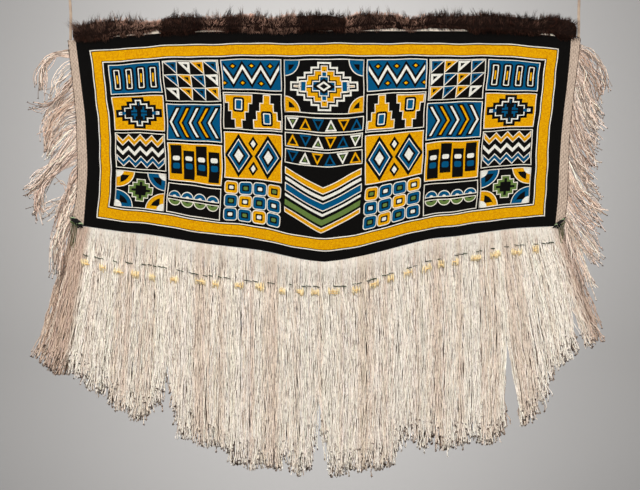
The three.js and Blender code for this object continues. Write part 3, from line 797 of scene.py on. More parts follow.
def inner_panels(shapes):
    """The columns beside the middle."""
    nest(shapes, box_shape(126, 2, 298, 90), (BLUE, 0, True))
    shapes.append((BLACK, zigzag(131, 293, 46, 22, 36, 6), False))
    shapes.append((WHITE, zigzag(131, 293, 46, 22, 13, 6), False))
    for k in range(3):
        nest(shapes, diamond(158 + 54 * k, 21, 12, 10), (BLACK, 0, False), (GOLD, 4, False))
        nest(shapes, diamond(185 + 54 * k, 71, 12, 10), (BLACK, 0, False), (GOLD, 4, False))
    towers(shapes)
    nest(shapes, box_shape(126, 216, 298, 350), (GOLD, 0, True))
    for x in (168, 256):
        nest(shapes, diamond(x, 283, 42, 63), (BLACK, 0, False), (BLUE, 9, True), (BLACK, 18, False),
             (WHITE, 24, False))
    for y in (246, 320):
        nest(shapes, diamond(212, y, 15, 22), (BLACK, 0, False), (WHITE, 6, False))
    pebble_rows(shapes)


def outer_panels(shapes):
    """The next columns out: triangles, chevrons on their sides, combs and half rounds."""
    nest(shapes, box_shape(307, 2, 468, 126), (BLACK, 0, True))
    for row in range(3):
        for k in range(4):
            left = 311 + 39 * k
            top = 5 + 40 * row
            colour = (BLUE, GOLD, WHITE, BLUE, GOLD)[(k + 2 * row) % 5]
            nest(shapes, [(left, top), (left + 37, top), (left, top + 37)], (colour, 0, colour != WHITE),
                 (BLACK, 7, False))
    nest(shapes, box_shape(307, 136, 468, 248), (BLUE, 0, True))
    for k in range(5):
        left = 326 + 29 * k
        colour = (WHITE, GOLD)[k % 2]
        nest(shapes, side_vee(left, 192, 26, 50, 19), (BLACK, 0, False), (colour, 5.5, False))
    nest(shapes, box_shape(307, 258, 468, 376), (GOLD, 0, True))
    for k in range(4):
        left = 314 + 38 * k
        top = 264 if k % 2 else 280
        nest(shapes, box_shape(left, top, left + 33, top + 90), (BLACK, 0, False))
        round_nest(shapes, left + 6, 298, left + 27, 312, 5, (WHITE, 0, False))
        round_nest(shapes, left + 6, 320, left + 27, 338, 5, (BLUE, 0, False))
    nest(shapes, box_shape(307, 386, 468, 478), (BLACK, 0, True))
    for k in range(4):
        x = 330 + 38.5 * k
        nest(shapes, fan(x, 436, 18, 0, 2), (GREEN, 0, True))
        nest(shapes, fan(x, 427, 18, 2, 4), (BLUE, 0, True))
        shapes.append((WHITE, fan(x, 427, 6, 2, 4), False))
        shapes.append((BLACK, fan(x, 436, 6, 0, 2), False))


def end_panels(shapes):
    """The columns at the ends of the field."""
    nest(shapes, box_shape(477, 2, 625, 100), (BLUE, 0, True))
    for k in range(4):
        left = 484 + 35 * k
        round_nest(shapes, left, 12, left + 29, 90, 9, (BLACK, 0, False), (WHITE, 6, False),
                   (BLACK, 9, False))
        round_nest(shapes, left + 12, 36, left + 17, 66, 2, (GOLD, 0, False))
    nest(shapes, box_shape(477, 110, 625, 222), (GOLD, 0, True))
    nest(shapes, stepped(551, 166, 68, 52, 4), (BLACK, 0, False), (WHITE, 8, False), (BLACK, 12, False),
         (BLUE, 18, False), (BLACK, 28, False))
    nest(shapes, box_shape(477, 232, 625, 350), (BLACK, 0, True))
    for k, colour in enumerate((GOLD, WHITE, BLUE)):
        thickness = 13 if colour == WHITE else 17
        shapes.append((colour, zigzag(481, 621, 256 + 35 * k, 10, thickness, 8), colour != WHITE))
    nest(shapes, box_shape(477, 360, 625, 478), (BLACK, 0, True))
    for x, y, start in ((477, 360, 0), (625, 360, 1), (625, 478, 2), (477, 478, 3)):
        colour = GOLD if start % 2 else BLUE
        nest(shapes, fan(x, y, 54, start, start + 1), (colour, 0, True), (BLACK, 13, False))
        shapes.append((WHITE, fan(x, y, 22, start, start + 1), False))
    nest(shapes, stepped(551, 419, 36, 36, 3), (GREEN, 0, True), (BLACK, 8, False))


def pattern_shapes():
    """All the shapes of the field, in the flat pattern's frame, with the left half as the right's mirror."""
    centre = []
    centre_panels(centre)
    half = []
    inner_panels(half)
    outer_panels(half)
    end_panels(half)
    mirrored = [(colour, [(-x, y) for x, y in points], lined) for colour, points, lined in half]
    placed = []
    for colour, points, lined in centre + half + mirrored:
        outline = [(FIELD_WIDE * x, -FIELD_TOP - FIELD_TALL * y) for x, y in points]
        placed.append((colour, outline, lined))
    return placed


# How far each line of the border lies inside the cloth's edge: left, top, right and bottom
WHITE_LINE_OUTER = (37.6, 36, 35.2, 30.4)
GOLD_OUTER = (41.4, 39.8, 39, 34.2)
GOLD_INNER = (65, 67.8, 65.4, 62.3)
WHITE_LINE_INNER = (68.6, 71.4, 69, 66)


def border_frame(insets):
    """The cloth's flat outline, drawn in by four margins."""
    left, top, right, bottom = insets
    return box_shape(left - PATTERN_HALF, -top, PATTERN_HALF - right, bottom - PATTERN_DROP)


def border_shapes():
    """The black ground with the golden band."""
    frames = ((BLACK, (0, 0, 0, 0)), (GOLD, GOLD_OUTER), (BLACK, GOLD_INNER))
    return [(colour, border_frame(insets), False) for colour, insets in frames]


def divide(points, step=GRID_STEP):
    """The closed outline with places every step along its sides, counterclockwise."""
    corners = np.array(points, float)
    after = np.roll(corners, -1, axis=0)
    if np.sum(corners[:, 0] * after[:, 1] - after[:, 0] * corners[:, 1]) < 0:
        corners = corners[::-1]
        after = np.roll(corners, -1, axis=0)
    placed = []
    for start, end in zip(corners, after):
        parts = max(1, math.ceil(np.linalg.norm(end - start) / step))
        placed += [start + (end - start) * k / parts for k in range(parts)]
    return np.array(placed)


def inside_outline(places, points):
    """Which of the places lie inside an outline."""
    corners = np.array(points, float)
    near = np.flatnonzero(np.all((places > corners.min(axis=0)) & (places < corners.max(axis=0)), axis=1))
    inside = np.zeros(len(places), bool)
    x, z = places[near, 0, None], places[near, 1, None]
    after = np.roll(corners, -1, axis=0)
    rises = (corners[None, :, 1] > z) != (after[None, :, 1] > z)
    rise = after[:, 1] - corners[:, 1]
    slope = (after[:, 0] - corners[:, 0]) / np.where(rise == 0, 1, rise)
    crossing = corners[None, :, 0] + slope[None, :] * (z - corners[None, :, 1])
    inside[near] = np.sum(rises & (x < crossing), axis=1) % 2 == 1
    return inside


# The whole hull is cut into triangles, and corners closer than this become one
CUT_ALL = 0
CUT_JOINS = 0.02
BACK_SHADE = 0.8


def colour_areas(shapes):
    """Cuts the flat cloth into triangles along all outlines: places, triangles and each one's colour."""
    corners = []
    edges = []
    for _, points, _ in shapes:
        outline = divide(points)
        first, count = len(corners), len(outline)
        edges += [(first + k, first + (k + 1) % count) for k in range(count)]
        corners += [tuple(p) for p in outline]
    half = PATTERN_HALF - GRID_STEP / 2
    for x in np.arange(-half, half + 1, GRID_STEP):
        for z in np.arange(-PATTERN_DROP + GRID_STEP / 2, -GRID_STEP / 2, GRID_STEP):
            corners.append((float(x), float(z)))
    cut = delaunay_2d_cdt(corners, edges, [], CUT_ALL, CUT_JOINS, False)
    places = np.array([(p[0], p[1]) for p in cut[0]])
    triangles = np.array(cut[2])
    middles = places[triangles].mean(axis=1)
    colours = np.full(len(triangles), BLACK)
    for colour, points, _ in shapes:
        colours[inside_outline(middles, points)] = colour
    return places, triangles, colours


def rim_wall(triangles, count):
    """Triangles that join the open edges of a sheet to those of its copy, whose points come after it."""
    edges = np.concatenate([triangles[:, [0, 1]], triangles[:, [1, 2]], triangles[:, [2, 0]]])
    keys = {tuple(edge) for edge in edges.tolist()}
    rim = np.array([edge for edge in edges.tolist() if (edge[1], edge[0]) not in keys])
    a, b = rim[:, 0], rim[:, 1]
    return np.concatenate([np.stack([b, a, a + count], axis=1), np.stack([b, a + count, b + count], axis=1)])


def flat_area(places, triangles):
    """The area of the flat cloth, in square metres."""
    first = places[triangles[:, 1]] - places[triangles[:, 0]]
    second = places[triangles[:, 2]] - places[triangles[:, 0]]
    return float(np.abs(np.linalg.det(np.stack([first, second], axis=1))).sum() / 2 * MM**2)


def make_cloth(shapes, material):
    """The woven panel: one thin sheet, its front and back faces cut into the colour areas."""
    places, triangles, colours = colour_areas(shapes)
    x, z = lay_pattern(places[:, 0], places[:, 1])
    y = fold(x, z)
    front = np.stack([x, y - CLOTH_HALF, z], axis=1)
    back = np.stack([x, y + CLOTH_HALF, z], axis=1)
    wall = rim_wall(triangles, len(front))
    all_triangles = np.concatenate([triangles, triangles[:, ::-1] + len(front), wall])
    flat = np.concatenate([places, places]) * MM
    dyes = [DYES[colours], BACK_SHADE * DYES[colours], np.tile(DYES[BLACK], (len(wall), 1))]
    obj = make_object("woven_cloth", np.concatenate([front, back]), all_triangles, material,
                      flat[all_triangles.ravel()], corner_colours=np.repeat(np.concatenate(dyes), 3, axis=0),
                      smooth=False)
    finish_piece(obj, ["woven_panel"])
    return obj, flat_area(places, triangles)


# The raised braids: their section, how high they stand, how far off the cloth, their steps and widths
BRAID_ACROSS = np.array([-0.5, -0.28, 0.28, 0.5])
BRAID_LIFTS = np.array([0.0, 1.0, 1.0, 0.0])
BRAID_HEIGHT = 0.9
BRAID_CLEAR = 0.12
BRAID_STEP = 9
FRAME_BRAID = 3.3
SHAPE_BRAID = 2.7


def mitres(line):
    """The way to the side at each corner of a closed line, longer where the line turns."""
    run_in = unit(line - np.roll(line, 1, axis=0))
    run_out = unit(np.roll(line, -1, axis=0) - line)
    side_in = np.stack([-run_in[:, 1], run_in[:, 0]], axis=1)
    side_out = np.stack([-run_out[:, 1], run_out[:, 0]], axis=1)
    middle = side_in + side_out
    return middle / np.maximum(np.sum(middle * side_in, axis=1, keepdims=True), 0.35)


def braid_faces(count, run):
    """The faces of a closed braid with four points to a step, and their uv by corner."""
    triangles = []
    uv = []
    for k in range(count):
        ahead = (k + 1) % count
        for side in range(3):
            a = 4 * k + side
            b = 4 * ahead + side
            triangles += [(a, b, b + 1), (a, b + 1, a + 1)]
            low, high = side / 3, (side + 1) / 3
            uv += [(low, run[k]), (low, run[k + 1]), (high, run[k + 1])]
            uv += [(low, run[k]), (high, run[k + 1]), (high, run[k])]
        triangles += [(4 * k + 3, 4 * ahead + 3, 4 * ahead), (4 * k + 3, 4 * ahead, 4 * k)]
        uv += [(0, run[k])] * 6
    return np.array(triangles)[:, ::-1], np.array(uv).reshape(-1, 3, 2)[:, ::-1].reshape(-1, 2)


def braid(line, width):
    """A low arched braid on the cloth along a closed flat line: points, triangles and uv."""
    flat = line[:, None, :] + mitres(line)[:, None, :] * (BRAID_ACROSS * width)[None, :, None]
    x, z = lay_pattern(flat[..., 0].ravel(), flat[..., 1].ravel())
    y = fold(x, z) - CLOTH_HALF - BRAID_CLEAR - np.tile(BRAID_LIFTS * BRAID_HEIGHT, len(line))
    steps = np.linalg.norm(np.roll(line, -1, axis=0) - line, axis=1)
    run = np.concatenate([[0], np.cumsum(steps)]) * MM
    triangles, uv = braid_faces(len(line), run)
    return np.stack([x, y, z], axis=1), triangles, uv


def make_lines(shapes, material):
    """The raised white braids round the lined shapes and along the border."""
    rng = np.random.default_rng(11)
    parts = []
    lines = [(border_frame(WHITE_LINE_OUTER), FRAME_BRAID), (border_frame(WHITE_LINE_INNER), FRAME_BRAID)]
    lines += [(points, SHAPE_BRAID) for _, points, lined in shapes if lined]
    for points, width in lines:
        places, triangles, uv = braid(divide(points, BRAID_STEP), width)
        tone = np.tile(BRAID_WHITE * rng.uniform(0.9, 1.08), (len(places), 1))
        parts.append((places, triangles, uv, tone))
    points, triangles, uv, tone = merge_parts(parts)
    obj = make_object("outline_braids", points, triangles, material, uv, tone)
    return finish_piece(obj, [])


# The fringes

CREAM = linear(244, 235, 221)
BEIGE = linear(230, 213, 195)
PINK = linear(202, 177, 158)
SIDE_LIGHT = linear(241, 221, 204)
SIDE_DARK = linear(202, 175, 156)
KNOT_TONE = linear(66, 50, 42)

# The whole lower edge, with the feet of both bands
FOOT_X = [-726.3, *LOW_X, 701.3]
FOOT_Z = [LOW_Z[0] + LEFT_FOOT_RISE, *LOW_Z, LOW_Z[-1] + RIGHT_FOOT_RISE]
# The last rings of a strand: where they lie, and how thick they are with a knot and without
KNOT_RINGS = [0.9885, 0.9915, 0.9945, 0.9975, 1.0]
KNOT_SWELL = [1.0, 1.6, 1.95, 1.6, 0.6]
PLAIN_TIP = [1, 1, 1, 0.9, 0.5]
# How far the outermost strands on the left bow out
OUTER_BOW = 5
# How dark the painted shade on the fringe is where it leaves the cloth, and how far down it is in full light
ROOT_PAINTED_SHADE = 0.74
ROOT_SHARE = 0.17
# How far from the middle the fringe turns to the plain warp's colour, and over what width
OUTER_START = 660
OUTER_WIDTH = 20
# How many strands go astray and how far, and past what distance from the middle none do
ASTRAY_SHARE = 0.06
ASTRAY_REACH = 16
ASTRAY_WITHIN = 560
# How many strands hang lower than the rest, and by how much
LONG_SHARE = 0.012
LONG_BY = (6, 24)
# How many strands end in a knot, in the lower fringe and at the sides
KNOTTED_SHARE = 0.75
SIDE_KNOTTED_SHARE = 0.8
# How far the strands of a layer stand apart, front to back, once they leave the cloth
LAYER_DEPTH = 3.8
# How many of the side cords are darkened as painted shade between the cords, and how dark
SHADED_CORD_SHARE = 0.22
SHADED_CORD_TONE = 0.34
# The waves that a fringe's streaks of colour are made of: how wide, and how strong
STREAKS = ((5, 0.4), (11, 0.7), (31, 0.8))


def strand_shares(rings):
    """How far along a strand each ring lies: even, and close together at the knot."""
    even = np.linspace(0, KNOT_RINGS[0] - 0.012, rings - len(KNOT_RINGS))
    return np.concatenate([even, KNOT_RINGS])


def strand_radii(rng, count, rings, radius, knotted):
    """Each strand's thickness, swelling into the knot where it has one."""
    swell = np.ones((count, rings))
    swell[:, -len(KNOT_SWELL):] = np.where(knotted[:, None], KNOT_SWELL, PLAIN_TIP)
    wobble = 1 + 0.1 * rng.standard_normal((count, rings))
    return radius * rng.uniform(0.86, 1.14, (count, 1)) * swell * np.clip(wobble, 0.75, 1.3)


def strand_tones(rng, base, rings, sides, spread, knotted, shares, root_shade=0.25):
    """Tones by point from each strand's own base: painted shade at the root, dark at the knot."""
    count = len(base)
    own = 1 + spread * rng.standard_normal((count, 1, 1))
    warm = 1 + 0.012 * rng.standard_normal((count, 1, 3))
    rough = 1 + 0.04 * rng.standard_normal((count, rings, 1))
    ring = base[:, None, :] * own * warm * rough
    # Painted shade where each strand leaves the cloth or the band
    shade = 1 - root_shade * rng.uniform(0.1, 1, (count, 1)) * np.exp(-shares / 0.035)[None, :]
    ring = ring * shade[:, :, None]
    dark = np.zeros((count, rings, 1))
    dark[:, -len(KNOT_SWELL) + 1:] = knotted[:, None, None] * rng.uniform(0.45, 1, (count, 1, 1))
    ring = ring * (1 - dark) + KNOT_TONE * dark
    return np.clip(np.repeat(ring.reshape(-1, 3), sides, axis=0), 0, 1)


def streaks(rng, place, first, second, share):
    """Each strand's colour, one of two mixed in streaks that run down the fringe."""
    waves = sum(size * np.sin(place / span + rng.uniform(0, TURN)) for span, size in STREAKS)
    mix = ease(0.5 + 0.55 * (waves + 0.6 * rng.standard_normal(len(place)) + 2.4 * (share - 0.5)))
    return first[None] * (1 - mix[:, None]) + second[None] * mix[:, None]


def gather(rng, roots, shares, first, last, pitch, pull):
    """How far each strand is drawn sideways towards the middle of its bunch, ring by ring."""
    steps = pitch * rng.uniform(0.4, 1.7, int(1.2 * (last - first) / pitch) + 2)
    middles = first - pitch + np.cumsum(steps)
    nearest = np.abs(roots[:, None] - middles[None, :]).argmin(axis=1)
    grip = pull * ease(shares / 0.3) * (1 - 0.3 * ease((shares - 0.8) / 0.2))
    reach = rng.uniform(0.3, 1.5, len(middles))[nearest, None]
    drawn = (middles[nearest] - roots)[:, None] * grip[None, :] * reach
    sway = rng.uniform(0, TURN, len(middles))[nearest]
    swing = rng.uniform(0.5, 3, len(middles))[nearest]
    speed = rng.uniform(0.5, 1.3, len(middles))[nearest]
    return drawn + swing[:, None] * shares * np.sin(TURN * speed[:, None] * shares + sway[:, None])


def crinkle(rng, count, rings, size, fade):
    """Small sideways turns of spun yarn, none at the root."""
    return rng.standard_normal((count, rings)) * size * fade


def strand_tips(rng, count, first, last, ragged):
    """Where each strand starts and ends, spread evenly between two roots, with uneven lengths."""
    ends = np.interp([first, last], TIP_ROOT, TIP_X)
    tip_x = ends[0] + (ends[1] - ends[0]) * (np.arange(count) + rng.uniform(-0.7, 0.7, count)) / count
    tip_x = np.clip(tip_x, *ends)
    roots = np.interp(tip_x, TIP_X, TIP_ROOT)
    tip_z = np.interp(roots, TIP_ROOT, TIP_Z)
    tip_z = tip_z + ragged * rng.uniform(0, 1, count) ** 2.1 + 6 * np.sin(roots / 9.7) + 6
    tip_z = tip_z - (rng.uniform(0, 1, count) < LONG_SHARE) * rng.uniform(*LONG_BY, count)
    return roots, tip_x, tip_z


def lay_across(rng, roots, tip_x, shares):
    """How each strand goes across: a few go astray, the outermost bow, and the lobes part at their tips."""
    astray = (rng.uniform(0, 1, len(roots)) < ASTRAY_SHARE) * rng.standard_normal(len(roots)) * ASTRAY_REACH
    astray = np.where(np.abs(roots) < ASTRAY_WITHIN, astray, 0)
    x = roots[:, None] + (tip_x - roots)[:, None] * shares + astray[:, None] * ease((shares - 0.2) / 0.7)
    bow = OUTER_BOW * ease((-roots - 600) / 90)
    x = x + bow[:, None] * np.sin(math.pi * shares**4)[None, :]
    for place, half, start in PARTINGS:
        aside = tip_x - place + rng.uniform(-1, 1, len(roots))
        push = half * np.sign(aside) * np.exp(-np.abs(aside) / (2.2 * half))
        x = x + push[:, None] * ease((shares - start) / (1 - start))[None, :]
    return x


def strand_colours(rng, roots, tones, beige):
    """Each strand's own colour, which turns to the plain warp's far out."""
    base = streaks(rng, roots, *tones, beige)
    outer = ease((np.abs(roots) - OUTER_START) / OUTER_WIDTH)[:, None]
    warp = streaks(rng, roots, BEIGE, PINK, np.where(roots < 0, 0.5, 0.85))
    return base * (1 - outer) + warp * outer


def lower_strands(seed, count, first, last, depth, outwards, rings, sides, radius, tones, beige, pitch,
                  pull, ragged):
    """Strands from the cloth's lower edge, in bunches, each to its own uneven tip."""
    rng = np.random.default_rng(seed)
    shares = strand_shares(rings)
    roots, tip_x, tip_z = strand_tips(rng, count, first, last, ragged)
    root_z = np.interp(roots, FOOT_X, FOOT_Z) - 1
    x = lay_across(rng, roots, tip_x, shares)
    z = root_z[:, None] + (tip_z - root_z)[:, None] * shares
    y = depth + outwards * (1 + LAYER_DEPTH * rng.uniform(0, 1, (count, 1))) * ease(shares / 0.16)[None, :]
    fade = ease(shares / 0.13)[None, :]
    x = x + gather(rng, roots, shares, first, last, pitch, pull)
    x = x + crinkle(rng, count, rings, 1.15, fade)
    wave = rng.uniform(0, TURN, (count, 1)) + shares[None, :] * rng.uniform(18, 48, (count, 1))
    x = x + rng.uniform(0.8, 3.2, (count, 1)) * np.sin(wave) * fade
    y = y + 2.2 * np.sin(0.77 * wave + 1.3) * fade + crinkle(rng, count, rings, 0.9, fade)
    x = x + rng.standard_normal((count, 1)) * 7 * ease((shares - 0.9) / 0.1)[None, :]
    y = y + fold(x, z)
    knotted = rng.uniform(0, 1, count) < KNOTTED_SHARE
    radii = strand_radii(rng, count, rings, radius, knotted)
    points, triangles, uv = tubes(np.stack([x, y, z], axis=2), radii, sides, turn=math.pi / sides,
                                  start=rng.uniform(0, 50, count))
    base = strand_colours(rng, roots, tones, beige)
    tone = strand_tones(rng, base, rings, sides, 0.03, knotted, shares)
    # Painted shade under the cloth's edge, fading out down the fringe
    below = 1 - (1 - ROOT_PAINTED_SHADE) * (1 - ease(shares / ROOT_SHARE))
    return points, triangles, uv, tone * np.tile(np.repeat(below, sides), count)[:, None]


def make_fringe(name, slot, nodes, material, **values):
    """One piece of the lower fringe."""
    points, triangles, uv, tone = lower_strands(**values)
    obj = make_object(name, points, triangles, material, uv, tone)
    return finish_piece(obj, nodes)


# Each side's way outwards, its share across the cloth, and its band's widths and the rise of its foot
WAYS = {"left": -1, "right": 1}
SHARES_ACROSS = {"left": 0.0, "right": 1.0}
BANDS = {"left": (LEFT_BAND, LEFT_FOOT_RISE), "right": (RIGHT_BAND, RIGHT_FOOT_RISE)}
# How many cords a lock has for each one in its row, and how uneven their ways are from root to tip
SIDE_FULLNESS = 1.6
SIDE_UNEVEN = np.array([0, 3, 6, 7.5, 9])[:, None]


def cloth_edge(side, down):
    """The cloth's side edge at a share of the way down."""
    return on_cloth(np.full_like(down, SHARES_ACROSS[side]), down)


def band_edge(side, down):
    """The outer edge of a side band at a share of the way down."""
    x, z = cloth_edge(side, down)
    widths, rise = BANDS[side]
    width = smooth_read(SIDE_SHARE, widths, down)
    return x + WAYS[side] * (SEAT_GAP + width), z + rise * down


def lock_routes(rng, side, shares):
    """The ways of a side fringe's cords, lock by lock, each between its lock's first and last cord."""
    edge_x, edge_z = band_edge(side, np.linspace(0, 1, 60))
    ways_x, ways_z, layers = [], [], []
    for amount, layer, first, last in SIDE_LOCKS[side]:
        count = round(amount * SIDE_FULLNESS)
        first, last = np.array(first, float), np.array(last, float)
        place = (np.arange(count) + rng.uniform(-0.8, 0.8, count)) / (count - 1)
        for mix in np.clip(place, -0.05, 1.05):
            guide = first * (1 - mix) + last * mix
            guide = guide + rng.standard_normal(guide.shape) * SIDE_UNEVEN
            guide[0, 0] = np.interp(-guide[0, 1], -edge_z, edge_x) - WAYS[side] * 1.5
            keys = np.concatenate([[0], np.cumsum(np.linalg.norm(np.diff(guide, axis=0), axis=1))])
            at = shares * keys[-1] * rng.uniform(0.78, 1)
            ways_x.append(smooth_read(keys, guide[:, 0], at))
            ways_z.append(smooth_read(keys, guide[:, 1], at))
            layers.append(layer + rng.uniform(-5, 5))
    return np.array(ways_x), np.array(ways_z), np.array(layers)


def make_side_fringe(side, seed, material):
    """Cords that leave a side band's outer edge and droop outwards, in uneven locks."""
    rng = np.random.default_rng(seed)
    rings, sides = 26, 4
    shares = strand_shares(rings)
    x, z, layer = lock_routes(rng, side, shares)
    count = len(x)
    z_root = z[:, 0]
    fade = ease(shares / 0.12)[None, :]
    wave = rng.uniform(0, TURN, (count, 1)) + shares[None, :] * rng.uniform(9, 26, (count, 1))
    swing = rng.uniform(0.3, 1.3, (count, 1))
    x = x + swing * np.sin(wave) * fade + crinkle(rng, count, rings, 0.35, fade)
    z = z + swing * np.cos(wave * 0.83) * fade + crinkle(rng, count, rings, 0.35, fade)
    y = fold(x[:, 0], z_root)[:, None] + layer[:, None] * ease(shares / 0.3)[None, :]
    y = y + crinkle(rng, count, rings, 0.6, fade)
    knotted = rng.uniform(0, 1, count) < SIDE_KNOTTED_SHARE
    radii = strand_radii(rng, count, rings, 1.1, knotted)
    paths = np.stack([x, y, z], axis=2)
    points, triangles, uv = tubes(paths, radii, sides, start=rng.uniform(0, 50, count))
    base = streaks(rng, z_root, SIDE_LIGHT, SIDE_DARK, 0.38)
    # Painted shade: some cords are darkened to stand for the shade between them
    base = base * np.where(rng.uniform(0, 1, count) < SHADED_CORD_SHARE, SHADED_CORD_TONE, 1)[:, None]
    tone = strand_tones(rng, base, rings, sides, 0.17, knotted, shares, root_shade=0.9)
    obj = make_object(f"side_cords_{side}", points, triangles, material, uv, tone)
    return finish_piece(obj, [f"side_fringe_{side}"])


# The side bands: ribs along them, places across a rib, rows down, beats of the braid, and their uv's size
RIBS = 5
RIB_PLACES = 4
BAND_ROWS = 180
BAND_BEATS = 45
RIB_HEIGHT = 0.8
BAND_UV_TALL = 0.55
BAND_UV_WIDE = 0.028
BAND_TONE = linear(176, 156, 139)


def band_faces(down, share):
    """The faces of a closed band, ring by ring from the top, with a cap at each end, and their uv."""
    columns = len(share) - 1
    width = len(share)
    around = 2 * width
    loops = np.concatenate([np.arange(width), np.arange(width)[::-1] + width])
    shares = np.concatenate([share, share[::-1]])
    triangles = []
    uv = []
    for row in range(BAND_ROWS):
        low, high = down[row] * BAND_UV_TALL, down[row + 1] * BAND_UV_TALL
        for k in range(around):
            ahead = (k + 1) % around
            a, b = row * around + loops[k], row * around + loops[ahead]
            c, d = a + around, b + around
            triangles += [(a, c, b), (b, c, d)]
            left, right = shares[k] * BAND_UV_WIDE, shares[ahead] * BAND_UV_WIDE
            uv += [(left, low), (left, high), (right, low), (right, low), (left, high), (right, high)]
    for row, order in ((0, 1), (BAND_ROWS, -1)):
        for k in range(columns):
            a, b = row * around + k, row * around + k + 1
            ends = [(a, b, b + width), (a, b + width, a + width)]
            triangles += [face[::order] for face in ends]
            uv += [(0, 0)] * 6
    return np.array(triangles), np.array(uv).reshape(-1, 3, 2)


def band_tones(rng, down, share):
    """A band's tones by point, with painted shade in the seams between its ribs where the braid dips."""
    rib_place = np.tile(share * RIBS, 2)
    seam = 1 - np.abs(np.sin(math.pi * rib_place))
    beat = 0.5 + 0.5 * np.sin(TURN * (BAND_BEATS * down[:, None] + 0.5 * np.round(rib_place)[None, :]))
    # Painted shade: darker in the seams between the ribs, at the beats of the braid
    braided = (1 - 0.62 * seam[None, :] * beat).reshape(-1, 1)
    return np.clip(BAND_TONE * (1 + 0.16 * rng.standard_normal(braided.shape)) * braided, 0, 1)


def make_band(side, seed, material):
    """A flat braided strip along the cloth's side edge, with rounded ribs along it."""
    rng = np.random.default_rng(seed)
    down = np.linspace(0, 1, BAND_ROWS + 1)
    share = np.linspace(0, 1, RIBS * RIB_PLACES + 1)
    inner_x, inner_z = cloth_edge(side, down)
    inner_x = inner_x + WAYS[side] * SEAT_GAP
    outer_x, outer_z = band_edge(side, down)
    x = inner_x[:, None] * (1 - share) + outer_x[:, None] * share
    z = inner_z[:, None] * (1 - share) + outer_z[:, None] * share
    rib = RIB_HEIGHT * np.abs(np.sin(math.pi * RIBS * share))
    front = np.stack([x, fold(x, z) - BAND_HALF - rib[None, :] + 0.3, z], axis=2)
    back = np.stack([x, fold(x, z) + BAND_HALF + 0.6 * rib[None, :] - 0.3, z], axis=2)
    points = np.concatenate([front, back], axis=1).reshape(-1, 3)
    triangles, uv = band_faces(down, share)
    if side == "left":
        triangles = triangles[:, ::-1]
        uv = uv[:, ::-1]
    tone = band_tones(rng, down, share)
    obj = make_object(f"braided_band_{side}", points, triangles, material, uv.reshape(-1, 2), tone)
    return finish_piece(obj, [f"side_band_{side}"])


def make_edge_shade_cord(side, seed, material):
    """A thin cord along a side band's outer edge, dark in most places as painted shade between the roots of
    the side cords.
    """
    rng = np.random.default_rng(seed)
    sides = 6
    down = np.linspace(0, 1, 150)
    x, z = band_edge(side, down)
    path = np.stack([x, fold(x, z) - BAND_HALF * 0.8, z], axis=1)
    thick = 1.4 + 0.8 * rng.uniform(-1, 1, len(path))
    points, triangles, uv = tubes(path[None], thick[None], sides)
    # Painted shade: most rings take the dark tone of the shade between the side cords' roots, the rest the
    # band's beige
    light = rng.uniform(0, 1, (len(path), 1)) ** 2
    tone = np.repeat(linear(52, 38, 32) * (1 - light) + linear(170, 148, 130) * light, sides, axis=0)
    obj = make_object(f"edge_shade_cord_{side}", points, triangles, material, uv, tone)
    return finish_piece(obj, [])


# The fur

PELT_RINGS = 260
PELT_SIDES = 18
PELT_SCALE = 0.86
PELT_TONE = linear(24, 14, 10)
HAIR_DARK = linear(44, 21, 13)
HAIR_LIGHT = linear(240, 188, 162)
HAIR_COUNT = 8000
TUFTS = 520
# How wide a tuft is along the strip
TUFT_WIDTH = 12
# How many tufts hold hairs that stand up, and how many of their hairs do
GUARD_SHARE = 0.34
GUARD_HAIRS = 0.7
# Hairs rise where the pelt looks no further down than this, and hang below it
UNDERSIDE = -0.4
# How far in from its ends the strip narrows
FUR_NARROWS = 18
# How far forward and back the hairs reach
HAIR_FRONT = -27.5
HAIR_BACK = 26.5
# A hair's faces over two rings of three points and its tip
HAIR_FACES = np.array([(0, 1, 4), (0, 4, 3), (1, 2, 5), (1, 5, 4), (2, 0, 3), (2, 3, 5), (3, 4, 6),
                       (4, 5, 6), (5, 3, 6), (0, 2, 1)])
HAIR_POINTS = 7


def fur_surface(x, angle, scale):
    """A place on the pelt: angle 0 is at the front and a quarter turn at the top."""
    top = np.interp(x, FUR_X, FUR_TOP)
    bottom = np.interp(x, FUR_X, FUR_BOTTOM)
    ends = np.clip(np.minimum(x - FUR_X[0], FUR_X[-1] - x) / FUR_NARROWS, 0, 1)
    close = 0.5 + 0.5 * np.sqrt(1 - (1 - ends) ** 2)
    lump = 1 + 0.07 * np.sin(x / 19 + 2.5 * angle) + 0.05 * np.sin(x / 7.3)
    forward = np.cos(angle)
    upward = np.sin(angle)
    depth = np.where(forward > 0, FUR_FRONT, FUR_BACK) * scale
    y = -forward * depth * close * lump
    half = (top - bottom) / 2 * scale
    z = (top + bottom) / 2 + upward * half * close
    return np.stack([x, y, z], axis=-1)


def make_pelt(material):
    """The fur's solid middle."""
    x = np.linspace(FUR_X[0], FUR_X[-1], PELT_RINGS)
    angles = TURN * np.arange(PELT_SIDES) / PELT_SIDES
    points = fur_surface(x[:, None] + 0 * angles[None, :], angles[None, :] + 0 * x[:, None], PELT_SCALE)
    triangles, _ = tube_faces(1, PELT_RINGS, PELT_SIDES)
    tone = np.tile(PELT_TONE, (PELT_RINGS * PELT_SIDES, 1))
    obj = make_object("fur_pelt", points.reshape(-1, 3), triangles, material, tone=tone)
    return finish_piece(obj, ["fur_trim"])


def tufts(rng, x, angle, first, last):
    """The tuft that each hair belongs to, and the place of that tuft's middle."""
    tuft_x = rng.uniform(first, last, TUFTS)
    tuft_angle = rng.uniform(0, TURN, TUFTS)
    turn = np.abs(angle[:, None] - tuft_angle[None, :])
    turn = np.minimum(turn, TURN - turn)
    own = (((x[:, None] - tuft_x[None, :]) / TUFT_WIDTH) ** 2 + (turn * 1.3) ** 2).argmin(axis=1)
    return own, tuft_x[own], tuft_angle[own]


